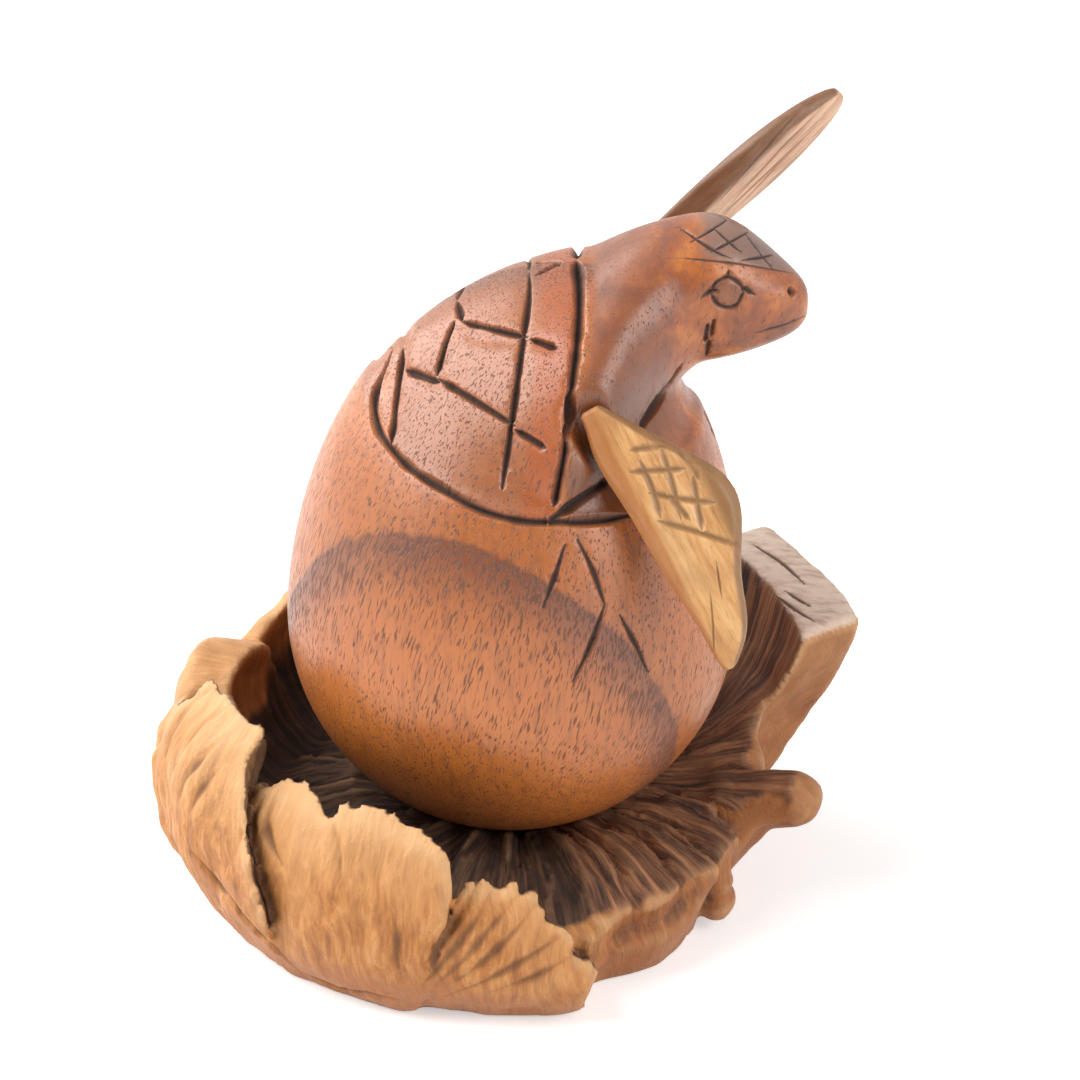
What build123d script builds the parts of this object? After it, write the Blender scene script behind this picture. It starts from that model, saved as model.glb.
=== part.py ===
"""Sea-turtle hatchling leaving its egg, carved in wood and set on a flower-like natural wood base."""

import os
from math import atan2, cos, degrees, radians, sin, sqrt

from build123d import *

os.makedirs("parts", exist_ok=True)

# Driving dimensions, in millimetres and degrees

# Egg: a half sphere below, a half ellipsoid above, leaning towards the head
EGG_RADIUS = 31.4
EGG_CROWN = 48.4
EGG_LEAN = 5.0
SHELL_STEP = 0.9

# Carapace: a dome that ends in an open rim behind the neck
CARAPACE_RADIUS = 25.8
CARAPACE_LENGTH = 29.5
CARAPACE_RISE = 26.4
CARAPACE_FORWARD = 6.6
CARAPACE_PITCH = 6.4
RIM_STEP = 1.2
RIM_BAND = 7.3
GROOVE_WIDTH = 1.3
GROOVE_DEPTH = 1.0

# Shoulders, neck and head, measured forward of the rim and above the rim's centre
SHOULDER_REACH = 6.0
SHOULDER_WIDTH = 43.0
SHOULDER_HEIGHT = 37.0
SHOULDER_LIFT = 8.0
NECK_REACH = 13.0
NECK_WIDTH = 24.0
NECK_HEIGHT = 26.0
NECK_LIFT = 17.2
HEAD_REACH = 18.9
HEAD_LENGTH = 14.7
HEAD_WIDTH = 17.0
HEAD_HEIGHT = 20.6
HEAD_LIFT = 21.4

# Front flippers: flat blades with bevelled edges, cut flat at the root and pinned to a facet on the shoulder
FLIPPER_REACH = 5.2
FLIPPER_LIFT = 9.8
FLIPPER_WIDTH = 14.4
FLIPPER_THICKNESS = 3.6
FLIPPER_BEVEL = 1.5
RIGHT_FLIPPER_LENGTH = 36.8
RIGHT_FLIPPER_SWING = 31.0
RIGHT_FLIPPER_ROLL = -8.0
LEFT_FLIPPER_LENGTH = 46.5
LEFT_FLIPPER_RISE = 41.0
LEFT_FLIPPER_SPREAD = 9.0
LEFT_FLIPPER_ROLL = 51.0
FACET_DEPTH = 1.2
FACET_LENGTH = 12.5
FACET_WIDTH = 7.0
PIN_DIAMETER = 2.0
PIN_IN_BODY = 6.0
PIN_IN_FLIPPER = 1.8
SCARF_DEPTH = 0.8

# Wood base: a solid heart with curled petals, open on one side where fluted roots run out
BASE_RADIUS = 46.0
BASE_FOOT_RADIUS = 29.0
BASE_FLOOR = 11.3
PETAL_HEIGHT = 33.0
PETAL_WALL = 6.0
PETAL_EDGE = 2.6
ROOT_THICKNESS = 7.0
RIDGE_WIDTH = 5.0
RIDGE_DEPTH = 4.5
DOWEL_DIAMETER = 8.0
DOWEL_IN_BASE = 6.0
DOWEL_IN_EGG = 14.0
PETAL_SWEEP = 100.0

# Fits
NEST_GAP = 0.3
GLUE_GAP = 0.1
FLIPPER_AIR = 1.5
PIN_CHAMFER = 0.3
DOWEL_CHAMFER = 0.8
OVERRUN = 20.0

# Shares chosen by eye

# Broken lip of the egg, seen from the side: along the radius, and up the crown
LIP_SHARES = [(-1.0, 1.06), (-0.62, 0.727), (-0.446, 0.622), (-0.127, 0.556), (0.159, 0.527), (0.541, 0.517),
              (0.844, 0.645), (1.1, 0.88)]
# Carapace dome: back along its length, and out along its radius
DOME_SHARES = [(0.0, 1.0), (0.386, 0.81), (0.715, 0.515), (1.0, 0.0)]
# Carved lines of the carapace, seen from the side: back along its length, and up from its axis by its radius
SCUTE_SHARES = [
    ((0.24, 0.72), (0.49, 0.645)), ((0.26, 0.36), (0.595, 0.436)), ((0.53, 0.60), (0.605, 0.445)),
    ((0.60, 0.42), (0.745, 0.387)), ((0.745, 0.62), (0.778, 0.22)), ((0.092, 0.738), (0.204, 0.725)),
    ((0.099, 0.303), (0.239, 0.348)),
]
BAND_END_SHARE = 0.1
# Head sections: along the head, width, height, and drop below the head's middle by its height
HEAD_SHARES = [
    (0.0, 1.0, 1.0, 0.0), (0.24, 0.93, 0.94, 0.0), (0.47, 0.81, 0.80, 0.025), (0.75, 0.58, 0.55, 0.075),
    (0.93, 0.35, 0.34, 0.10), (1.0, 0.14, 0.15, 0.105),
]
# Brow and cheek points of a section, by its half width and half height: a plain oval, and one with a brow
OVAL_SHARES = [(0.906, 0.423), (0.978, -0.208)]
BROWED_SHARES = [(1.0, 0.36), (0.93, -0.22)]
JAW_SHARE = (0.643, -0.766)
# Flipper sections: along the length, width, offset of the middle towards the leading edge, thickness
RIGHT_FLIPPER_SHARES = [
    (-0.06, 0.24, 0.0, 1.0), (0.0, 0.34, 0.04, 1.0), (0.13, 0.615, 0.12, 1.0), (0.25, 0.82, 0.235, 0.97),
    (0.44, 1.0, 0.344, 0.9), (0.63, 0.78, 0.255, 0.8), (0.83, 0.5, 0.16, 0.65), (0.96, 0.26, 0.05, 0.5),
    (1.0, 0.10, 0.0, 0.4),
]
LEFT_FLIPPER_SHARES = [
    (-0.06, 0.24, 0.0, 1.0), (0.0, 0.34, 0.0, 1.0), (0.13, 0.52, 0.02, 1.0), (0.30, 0.74, 0.04, 1.0),
    (0.50, 0.92, 0.05, 0.95), (0.70, 0.96, 0.04, 0.9), (0.88, 0.72, 0.02, 0.75), (0.97, 0.42, 0.0, 0.55),
    (1.0, 0.20, 0.0, 0.4),
]
# Outlines of the petals: across the width, and up the height
ROUND_SHARES = [(-0.36, 0.3), (-0.5, 0.62), (-0.34, 0.9), (0.0, 1.0), (0.32, 0.92), (0.5, 0.6), (0.36, 0.3)]
TOOTHED_SHARES = [(-0.46, 0.2), (-0.5, 0.5), (-0.36, 0.8), (-0.21, 0.97), (-0.1, 0.93), (-0.03, 0.82),
                  (0.08, 1.0), (0.25, 0.95), (0.44, 0.72), (0.5, 0.4), (0.46, 0.2)]
FAN_SHARES = [(-0.4, 0.2), (-0.48, 0.7), (-0.22, 1.0), (0.08, 0.86), (0.3, 0.62), (0.46, 0.36), (0.42, 0.1)]
SAWN_SHARES = [(-0.4, 0.2), (-0.48, 0.5), (-0.57, 0.72), (-0.61, 0.83), (-0.58, 0.88), (-0.2, 0.94),
               (0.18, 1.0), (0.25, 0.94), (0.28, 0.7), (0.24, 0.3)]
# Petals: azimuth, width, foot radius, belly radius, belly height, tip radius, tip height, wall, edge, outline
PETAL_SHARES = [
    (197, 0.70, 0.87, 1.08, 0.53, 0.97, 1.0, 1.0, 1.0, ROUND_SHARES),
    (233, 0.72, 0.89, 1.04, 0.43, 0.85, 0.97, 1.0, 1.0, TOOTHED_SHARES),
    (269, 0.52, 0.85, 0.99, 0.30, 0.88, 0.68, 1.0, 1.0, FAN_SHARES),
    (297, 0.52, 0.73, 0.79, 0.17, 0.78, 0.36, 1.0, 1.2, ROUND_SHARES),
    (324, 0.44, 0.65, 0.72, 0.25, 0.72, 0.36, 0.9, 1.2, ROUND_SHARES),
    (349, 0.34, 0.60, 0.80, 0.22, 0.95, 0.50, 1.6, 2.0, ROUND_SHARES),
    (12, 0.56, 0.57, 0.83, 0.30, 0.83, 0.75, 1.7, 1.6, ROUND_SHARES),
    (36, 0.66, 0.57, 0.99, 0.48, 1.12, 1.19, 1.2, 2.2, SAWN_SHARES),
    (70, 0.74, 0.61, 0.98, 0.48, 0.90, 0.97, 1.0, 1.0, ROUND_SHARES),
    (108, 0.70, 0.71, 1.00, 0.50, 0.92, 0.93, 1.0, 1.0, TOOTHED_SHARES),
    (146, 0.66, 0.84, 1.00, 0.52, 0.93, 0.97, 1.0, 1.0, ROUND_SHARES),
    (166, 0.42, 0.90, 1.06, 0.54, 1.00, 0.90, 0.9, 1.4, ROUND_SHARES),
]
PETAL_ROOT_SHARE = 0.5
# Roots on the open side: azimuth, inner radius, outer radius, inner height, outer height, thickness
ROOT_SHARES = [
    (284, 0.3, 0.78, 0.40, 0.36, 0.8), (303, 0.3, 0.76, 0.41, 0.35, 0.9), (318, 0.3, 0.72, 0.41, 0.35, 0.8),
    (333, 0.3, 0.77, 0.43, 0.36, 0.9), (349, 0.3, 0.98, 0.45, 0.47, 1.35), (3, 0.3, 0.84, 0.45, 0.51, 0.9),
]
# Ridges in the hollow: azimuths, then radius and height where they start and end
RIDGE_TURN_SHARES = [22, 45, 64, 86, 105, 127, 150, 168, 190, 211, 232, 250, 268]
RIDGE_START_SHARES = (0.26, 0.49)
RIDGE_END_SHARES = (0.70, 0.43)
HEART_RIM_SHARES = (0.72, 0.33)
HEART_DISH_SHARES = (0.45, 0.45)
LIP_PASS_SHARES = (0.74, 0.517)
PIN_PLACE_SHARE = 0.02
ROOT_TAPER_SHARE = 0.6
# Blunt end of a root: back from its tip and out from its axis, by its half thickness
ROOT_TIP_SHARES = [(1.0, 1.0), (0.45, 0.85), (0.1, 0.5), (0.0, 0.0)]

# Frames worked out from the sizes

egg_centre = Vector(0, 0, BASE_FLOOR + NEST_GAP + EGG_RADIUS)
egg_up = Vector(sin(radians(EGG_LEAN)), 0, cos(radians(EGG_LEAN)))
egg_plane = Plane(egg_centre, x_dir=(egg_up.Z, 0, -egg_up.X), z_dir=(0, -1, 0))
egg_axis = Axis(egg_centre, egg_up)

rim_centre = egg_centre + Vector(CARAPACE_FORWARD, 0, CARAPACE_RISE)
carapace_back = Vector(-cos(radians(CARAPACE_PITCH)), 0, sin(radians(CARAPACE_PITCH)))
carapace_plane = Plane(rim_centre, x_dir=carapace_back, z_dir=(0, 1, 0))
carapace_axis = Axis(rim_centre, carapace_back)

pin_x = rim_centre.X + FLIPPER_REACH
pin_z = rim_centre.Z + FLIPPER_LIFT
rim_inside = 2 * (CARAPACE_RADIUS - RIM_STEP)
neck_root = rim_centre + carapace_back * RIM_STEP
facet_y = SHOULDER_WIDTH / 2 - FACET_DEPTH
egg_bottom = BASE_FLOOR + NEST_GAP

# The right flipper leans out just enough to pass the egg's lip
lip_y = LIP_PASS_SHARES[0] * EGG_RADIUS
lip_z = egg_centre.Z + LIP_PASS_SHARES[1] * EGG_CROWN
flipper_lean = atan2(lip_y + FLIPPER_AIR - facet_y, pin_z - lip_z)

heart_rim = (HEART_RIM_SHARES[0] * BASE_RADIUS, HEART_RIM_SHARES[1] * PETAL_HEIGHT)
heart_dish = (HEART_DISH_SHARES[0] * BASE_RADIUS, HEART_DISH_SHARES[1] * PETAL_HEIGHT)
heart_floor = BASE_FLOOR + NEST_GAP


def egg_face(radius, crown):
    """Half section of an egg of the given sizes, on the plane through the egg's axis."""
    with BuildSketch(egg_plane) as section:
        with BuildLine():
            CenterArc((0, 0), radius, -90, 90)
            Bezier((radius, 0), (radius, crown), (0, crown), weights=[1, sqrt(0.5), 1])
            Line((0, crown), (0, -radius))
        make_face()
    return section.sketch.faces()


def dome_face(inset):
    """Half section of the carapace's dome, drawn in by the inset."""
    with BuildSketch(carapace_plane) as section:
        with BuildLine():
            length = CARAPACE_LENGTH - inset
            radius = CARAPACE_RADIUS - inset
            dome = Spline(*[(back * length, out * radius) for back, out in DOME_SHARES])
            Polyline(dome @ 1, (0, 0), dome @ 0)
        make_face()
    return section.sketch.faces()


def oval_face(plane, width, height, brow, cheek):
    """Section of shoulders, neck or head from four arcs that meet at the brows and the jaws."""
    brow_x, brow_y = brow[0] * width / 2, brow[1] * height / 2
    cheek_x, cheek_y = cheek[0] * width / 2, cheek[1] * height / 2
    jaw_x, jaw_y = JAW_SHARE[0] * width / 2, JAW_SHARE[1] * height / 2
    with BuildSketch(plane) as section:
        with BuildLine():
            ThreePointArc((-brow_x, brow_y), (0, height / 2), (brow_x, brow_y))
            ThreePointArc((brow_x, brow_y), (cheek_x, cheek_y), (jaw_x, jaw_y))
            ThreePointArc((jaw_x, jaw_y), (0, -height / 2), (-jaw_x, jaw_y))
            ThreePointArc((-jaw_x, jaw_y), (-cheek_x, cheek_y), (-brow_x, brow_y))
        make_face()
    return section.sketch.face()


def shoulder_plane(side, distance):
    """Plane square to the sideways axis through a shoulder, facing outward, at a distance from the middle."""
    return Plane((pin_x, side * distance, pin_z), x_dir=(1, 0, 0), z_dir=(0, side, 0))


def section_plane(reach, lift):
    """Upright plane across the neck or head, by its distance from the rim's centre."""
    return Plane(rim_centre + Vector(reach, 0, lift), x_dir=(0, 1, 0), z_dir=(1, 0, 0))


# Turtle in egg: one block with the egg, carapace, shoulders, neck and head

with BuildPart() as scute_lines:
    revolve(profiles=dome_face(-OVERRUN), axis=carapace_axis)
    revolve(profiles=dome_face(GROOVE_DEPTH), axis=carapace_axis, mode=Mode.SUBTRACT)
    # the room outside the dome, a groove deep, is kept only where a carved line runs, on both flanks alike
    with BuildSketch(carapace_plane):
        for (back_a, up_a), (back_b, up_b) in SCUTE_SHARES:
            start = Vector(back_a * CARAPACE_LENGTH, up_a * CARAPACE_RADIUS)
            end = Vector(back_b * CARAPACE_LENGTH, up_b * CARAPACE_RADIUS)
            line = end - start
            with Locations((start + end) / 2):
                SlotOverall(line.length + GROOVE_WIDTH, GROOVE_WIDTH, rotation=degrees(atan2(line.Y, line.X)))
        with Locations((RIM_BAND, BAND_END_SHARE * CARAPACE_RADIUS)):
            Rectangle(GROOVE_WIDTH, CARAPACE_RADIUS, align=(Align.CENTER, Align.MIN))
    extrude(amount=CARAPACE_RADIUS + OVERRUN, both=True, mode=Mode.INTERSECT)

with BuildPart() as eggshell:
    revolve(profiles=egg_face(EGG_RADIUS, EGG_CROWN), axis=egg_axis)
    # the shell is broken along a wavy lip, and the turtle stands a step inside it
    with BuildSketch(Plane(egg_centre, x_dir=(1, 0, 0), z_dir=(0, -1, 0))):
        with BuildLine():
            lip = Spline(*[(x * EGG_RADIUS, z * EGG_CROWN) for x, z in LIP_SHARES])
            above = EGG_CROWN + OVERRUN
            front = LIP_SHARES[-1][0] * EGG_RADIUS
            back = LIP_SHARES[0][0] * EGG_RADIUS
            Polyline(lip @ 1, (front, above), (back, above), lip @ 0)
        make_face()
    extrude(amount=EGG_RADIUS + OVERRUN, both=True, mode=Mode.SUBTRACT)

neck_sections = [
    oval_face(Plane(neck_root, x_dir=(0, 1, 0), z_dir=-carapace_back), rim_inside, rim_inside, *OVAL_SHARES),
    oval_face(section_plane(SHOULDER_REACH, SHOULDER_LIFT), SHOULDER_WIDTH, SHOULDER_HEIGHT, *OVAL_SHARES),
    oval_face(section_plane(NECK_REACH, NECK_LIFT), NECK_WIDTH, NECK_HEIGHT, *OVAL_SHARES),
]
head_sections = []
for along, wide, high, drop in HEAD_SHARES:
    head_plane = section_plane(HEAD_REACH + along * HEAD_LENGTH, HEAD_LIFT - drop * HEAD_HEIGHT)
    head_sections.append(oval_face(head_plane, wide * HEAD_WIDTH, high * HEAD_HEIGHT, *BROWED_SHARES))

with BuildPart() as turtle_in_egg:
    revolve(profiles=egg_face(EGG_RADIUS - SHELL_STEP, EGG_CROWN - SHELL_STEP), axis=egg_axis)
    loft(neck_sections + head_sections[:1])
    loft(head_sections)
    revolve(profiles=dome_face(0), axis=carapace_axis)
    add(scute_lines.part, mode=Mode.SUBTRACT)
    add(eggshell.part)
    # flat facets and pin holes for the flippers, one on each shoulder
    for side, facet_turn in ((-1, RIGHT_FLIPPER_SWING - 90), (1, -LEFT_FLIPPER_RISE)):
        with BuildSketch(shoulder_plane(side, facet_y)):
            SlotOverall(FACET_LENGTH, FACET_WIDTH, rotation=facet_turn)
        extrude(amount=OVERRUN, mode=Mode.SUBTRACT)
        with BuildSketch(shoulder_plane(side, facet_y)):
            Circle(PIN_DIAMETER / 2 + GLUE_GAP)
        extrude(amount=-PIN_IN_BODY - GLUE_GAP, mode=Mode.SUBTRACT)
    # dowel hole in the bottom of the egg
    with BuildSketch(Plane.XY.offset(egg_bottom - OVERRUN)):
        Circle(DOWEL_DIAMETER / 2 + GLUE_GAP)
    extrude(amount=OVERRUN + DOWEL_IN_EGG + GLUE_GAP, mode=Mode.SUBTRACT)

turtle_in_egg.part.label = "turtle_in_egg"
export_step(turtle_in_egg.part, "parts/turtle_in_egg.step")

# Front flippers


def flipper_sections(side, root, along, face, length, shares):
    """Six-sided sections of a blade from its root to its tip; the leading edge swells forward."""
    across = face.cross(along)
    sections = []
    for share, wide, offset, thick in shares:
        middle = root + along * (share * length) - across * (side * offset * FLIPPER_WIDTH)
        half = wide * FLIPPER_WIDTH / 2
        flat = half - wide * FLIPPER_BEVEL
        deep = thick * FLIPPER_THICKNESS / 2
        corners = [(-half, 0), (-flat, -deep), (flat, -deep), (half, 0), (flat, deep), (-flat, deep)]
        with BuildSketch(Plane(middle, x_dir=across, z_dir=along)) as section:
            Polygon(*corners, align=None)
        sections.append(section.sketch.face())
    return sections


def rolled(outward, along, roll):
    """The direction nearest to outward that is square to along, turned about along by the roll."""
    square = (outward - along * outward.dot(along)).normalized()
    return square * cos(radians(roll)) + along.cross(square) * sin(radians(roll))


swing = radians(RIGHT_FLIPPER_SWING)
right_along = Vector(sin(swing) * cos(flipper_lean), -sin(flipper_lean), -cos(swing) * cos(flipper_lean))
right_face = rolled(Vector(0, -1, 0), right_along, RIGHT_FLIPPER_ROLL)
right_middle = Vector(pin_x, -facet_y - GLUE_GAP - FLIPPER_THICKNESS / 2 + SCARF_DEPTH, pin_z)
right_root = right_middle - right_along * (PIN_PLACE_SHARE * RIGHT_FLIPPER_LENGTH)

rise = radians(LEFT_FLIPPER_RISE)
spread = radians(LEFT_FLIPPER_SPREAD)
left_along = Vector(cos(rise) * cos(spread), sin(spread), sin(rise) * cos(spread))
left_face = rolled(Vector(0, 1, 0), left_along, LEFT_FLIPPER_ROLL)
left_middle = Vector(pin_x, facet_y + GLUE_GAP + FLIPPER_THICKNESS / 2 - SCARF_DEPTH, pin_z)
left_root = left_middle - left_along * (PIN_PLACE_SHARE * LEFT_FLIPPER_LENGTH)

right_sections = flipper_sections(
    -1, right_root, right_along, right_face, RIGHT_FLIPPER_LENGTH, RIGHT_FLIPPER_SHARES
)
left_sections = flipper_sections(
    1, left_root, left_along, left_face, LEFT_FLIPPER_LENGTH, LEFT_FLIPPER_SHARES
)

with BuildPart() as right_front_flipper:
    loft(right_sections)
    # the root is cut flat where it lies on the shoulder, and bored for its pin
    with BuildSketch(shoulder_plane(-1, facet_y + GLUE_GAP)):
        Circle(RIGHT_FLIPPER_LENGTH)
    extrude(amount=-OVERRUN, mode=Mode.SUBTRACT)
    with BuildSketch(shoulder_plane(-1, facet_y)):
        Circle(PIN_DIAMETER / 2 + GLUE_GAP)
    extrude(amount=PIN_IN_FLIPPER + 2 * GLUE_GAP, mode=Mode.SUBTRACT)

right_front_flipper.part.label = "right_front_flipper"
export_step(right_front_flipper.part, "parts/right_front_flipper.step")

with BuildPart() as left_front_flipper:
    loft(left_sections)
    with BuildSketch(shoulder_plane(1, facet_y + GLUE_GAP)):
        Circle(LEFT_FLIPPER_LENGTH)
    extrude(amount=-OVERRUN, mode=Mode.SUBTRACT)
    with BuildSketch(shoulder_plane(1, facet_y)):
        Circle(PIN_DIAMETER / 2 + GLUE_GAP)
    extrude(amount=PIN_IN_FLIPPER + 2 * GLUE_GAP, mode=Mode.SUBTRACT)

left_front_flipper.part.label = "left_front_flipper"
export_step(left_front_flipper.part, "parts/left_front_flipper.step")

# Flipper pins and base dowel

with BuildPart() as right_flipper_pin:
    with BuildSketch(shoulder_plane(-1, facet_y - PIN_IN_BODY)):
        Circle(PIN_DIAMETER / 2)
    extrude(amount=PIN_IN_BODY + GLUE_GAP + PIN_IN_FLIPPER)
    chamfer(right_flipper_pin.edges(), PIN_CHAMFER)

right_flipper_pin.part.label = "right_flipper_pin"
export_step(right_flipper_pin.part, "parts/right_flipper_pin.step")

with BuildPart() as left_flipper_pin:
    with BuildSketch(shoulder_plane(1, facet_y - PIN_IN_BODY)):
        Circle(PIN_DIAMETER / 2)
    extrude(amount=PIN_IN_BODY + GLUE_GAP + PIN_IN_FLIPPER)
    chamfer(left_flipper_pin.edges(), PIN_CHAMFER)

left_flipper_pin.part.label = "left_flipper_pin"
export_step(left_flipper_pin.part, "parts/left_flipper_pin.step")

with BuildPart() as base_dowel:
    with BuildSketch(Plane.XY.offset(BASE_FLOOR - DOWEL_IN_BASE)):
        Circle(DOWEL_DIAMETER / 2)
    extrude(amount=DOWEL_IN_BASE + NEST_GAP + DOWEL_IN_EGG)
    chamfer(base_dowel.edges(), DOWEL_CHAMFER)

base_dowel.part.label = "base_dowel"
export_step(base_dowel.part, "parts/base_dowel.step")

# Wood base


def petal(azimuth, width, foot, belly_r, belly_z, tip_r, tip_z, wall, edge, outline):
    """One curled petal: a turned bowl wall, cut to the petal's outline as seen from outside."""
    out = Vector(cos(radians(azimuth)), sin(radians(azimuth)), 0)
    start = Vector(cos(radians(azimuth - PETAL_SWEEP / 2)), sin(radians(azimuth - PETAL_SWEEP / 2)), 0)
    belly = (belly_r * BASE_RADIUS, belly_z * PETAL_HEIGHT)
    tip = (tip_r * BASE_RADIUS, tip_z * PETAL_HEIGHT)
    inner_tip = (tip[0] - edge * PETAL_EDGE, tip[1])
    inner_belly = (belly[0] - wall * PETAL_WALL, belly[1] + wall * PETAL_WALL / 2)
    inner_foot = (PETAL_ROOT_SHARE * BASE_RADIUS, BASE_FLOOR)
    with BuildPart() as lobe:
        with BuildSketch(Plane((0, 0, 0), x_dir=start, z_dir=start.cross(Vector(0, 0, 1)))):
            with BuildLine():
                ThreePointArc((foot * BASE_RADIUS, 0), belly, tip)
                Line(tip, inner_tip)
                ThreePointArc(inner_tip, inner_belly, inner_foot)
                Polyline(inner_foot, (inner_foot[0], 0), (foot * BASE_RADIUS, 0))
            make_face()
        revolve(axis=Axis.Z, revolution_arc=PETAL_SWEEP)
        with BuildSketch(Plane((0, 0, 0), x_dir=(-out.Y, out.X, 0), z_dir=out)):
            with BuildLine():
                edge_line = Spline(*[(across * width * BASE_RADIUS, up * tip[1]) for across, up in outline])
                below = -OVERRUN
                Polyline(edge_line @ 1, ((edge_line @ 1).X, below), ((edge_line @ 0).X, below), edge_line @ 0)
            make_face()
        extrude(amount=BASE_RADIUS + OVERRUN, mode=Mode.INTERSECT)
    return lobe.part


def root(azimuth, inner_r, outer_r, inner_z, outer_z, thick):
    """One tapered root with a blunt end that runs out from the heart of the base."""
    out = Vector(cos(radians(azimuth)), sin(radians(azimuth)), 0)
    inner = out * (inner_r * BASE_RADIUS) + Vector(0, 0, inner_z * PETAL_HEIGHT)
    outer = out * (outer_r * BASE_RADIUS) + Vector(0, 0, outer_z * PETAL_HEIGHT)
    line = outer - inner
    blunt = thick * ROOT_THICKNESS / 2
    slim = blunt * ROOT_TAPER_SHARE
    with BuildPart() as spindle:
        with BuildSketch(Plane(inner, x_dir=line, z_dir=line.cross(Vector(0, 0, 1)))):
            with BuildLine():
                tip = [(line.length - back * blunt, out * blunt) for back, out in ROOT_TIP_SHARES]
                Polyline((0, 0), (0, slim), *tip, (0, 0))
            make_face()
        revolve(axis=Axis(inner, line))
    return spindle.part


def ridge(azimuth):
    """One sharp ridge that runs outward in the hollow of the base."""
    out = Vector(cos(radians(azimuth)), sin(radians(azimuth)), 0)
    start_r, start_z = RIDGE_START_SHARES
    end_r, end_z = RIDGE_END_SHARES
    start = out * (start_r * BASE_RADIUS) + Vector(0, 0, start_z * PETAL_HEIGHT)
    end = out * (end_r * BASE_RADIUS) + Vector(0, 0, end_z * PETAL_HEIGHT)
    with BuildPart() as rib:
        with BuildSketch(Plane(start, x_dir=(-out.Y, out.X, 0), z_dir=end - start)):
            Polygon((0, 0), (-RIDGE_WIDTH / 2, -RIDGE_DEPTH), (RIDGE_WIDTH / 2, -RIDGE_DEPTH), align=None)
        extrude(amount=(end - start).length)
    return rib.part


petals = [petal(*row) for row in PETAL_SHARES]
roots = [root(*row) for row in ROOT_SHARES]
ridges = [ridge(azimuth) for azimuth in RIDGE_TURN_SHARES]

with BuildPart() as wood_base:
    with BuildSketch(Plane.XZ):
        with BuildLine():
            ThreePointArc(heart_rim, heart_dish, (0, heart_floor))
            Polyline((0, heart_floor), (0, 0), (BASE_FOOT_RADIUS, 0), heart_rim)
        make_face()
    revolve(axis=Axis.Z)
    for piece in petals + roots + ridges:
        add(piece)
    # hollowed for the egg and bored for the dowel
    revolve(profiles=egg_face(EGG_RADIUS + NEST_GAP, EGG_CROWN + NEST_GAP), axis=egg_axis, mode=Mode.SUBTRACT)
    with BuildSketch(Plane.XY.offset(BASE_FLOOR - DOWEL_IN_BASE - GLUE_GAP)):
        Circle(DOWEL_DIAMETER / 2 + GLUE_GAP)
    extrude(amount=OVERRUN, mode=Mode.SUBTRACT)

wood_base.part.label = "wood_base"
export_step(wood_base.part, "parts/wood_base.step")
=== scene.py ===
import math
from itertools import product

import bmesh
import bpy
import numpy as np
import openvdb
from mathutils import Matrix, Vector
from mathutils.bvhtree import BVHTree
from mathutils.kdtree import KDTree


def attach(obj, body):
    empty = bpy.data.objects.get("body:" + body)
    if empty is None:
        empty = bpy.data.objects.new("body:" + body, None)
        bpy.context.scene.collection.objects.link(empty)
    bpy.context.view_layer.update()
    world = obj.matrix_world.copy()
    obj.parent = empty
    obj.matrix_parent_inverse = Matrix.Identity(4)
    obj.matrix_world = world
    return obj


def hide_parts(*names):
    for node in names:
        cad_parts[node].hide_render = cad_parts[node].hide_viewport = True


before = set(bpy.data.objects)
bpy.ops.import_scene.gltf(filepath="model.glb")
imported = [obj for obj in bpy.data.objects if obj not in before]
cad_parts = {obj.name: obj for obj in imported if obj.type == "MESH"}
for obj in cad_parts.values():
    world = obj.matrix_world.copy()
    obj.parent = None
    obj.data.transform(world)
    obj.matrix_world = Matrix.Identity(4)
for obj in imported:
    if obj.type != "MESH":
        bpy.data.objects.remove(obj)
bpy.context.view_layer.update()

MM = 0.001

# Camera at the photo's view: a long lens, 25 degrees above the floor

TARGET = np.array([3.9, 0.0, 53.1])
DISTANCE = 600.0
ELEVATION = math.radians(25.0)
LENS = 144.0
SENSOR = 36.0
PICTURE = 1080
FOCAL = LENS / SENSOR * PICTURE

view_forward = np.array([0.0, math.cos(ELEVATION), -math.sin(ELEVATION)])
view_right = np.array([1.0, 0.0, 0.0])
view_up = np.array([0.0, math.sin(ELEVATION), math.cos(ELEVATION)])
eye_point = TARGET - view_forward * DISTANCE

camera_data = bpy.data.cameras.new("camera")
camera_data.lens = LENS
camera_data.sensor_width = SENSOR
camera = bpy.data.objects.new("camera", camera_data)
camera.location = Vector(eye_point * MM)
camera.rotation_euler = (math.pi / 2 - ELEVATION, 0.0, 0.0)
bpy.context.scene.collection.objects.link(camera)
bpy.context.scene.camera = camera


def pixel_ray(px, py):
    """Direction in space of a point of the picture."""
    aim = view_forward + view_right * ((px - PICTURE / 2) / FOCAL) - view_up * ((py - PICTURE / 2) / FOCAL)
    return aim / np.linalg.norm(aim)


def to_picture(points):
    """Picture coordinates of points in millimetres."""
    away = points - TARGET
    depth = DISTANCE + away @ view_forward
    return (
        PICTURE / 2 + FOCAL * (away @ view_right) / depth,
        PICTURE / 2 - FOCAL * (away @ view_up) / depth,
    )


# Seeded noise on a lattice, smooth steps and distances

def hashed(ix, iy, iz, seed):
    """A number from 0 to 1 for each lattice point."""
    h = (ix * 73856093) ^ (iy * 19349663) ^ (iz * 83492791) ^ (seed * 2654435)
    h = h & 0xFFFFFFFF
    h = ((h ^ (h >> 13)) * 1274126177) & 0xFFFFFFFF
    h = ((h ^ (h >> 16)) * 2246822519) & 0xFFFFFFFF
    return ((h ^ (h >> 15)) & 0xFFFFFF) / float(0xFFFFFF)


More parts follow.
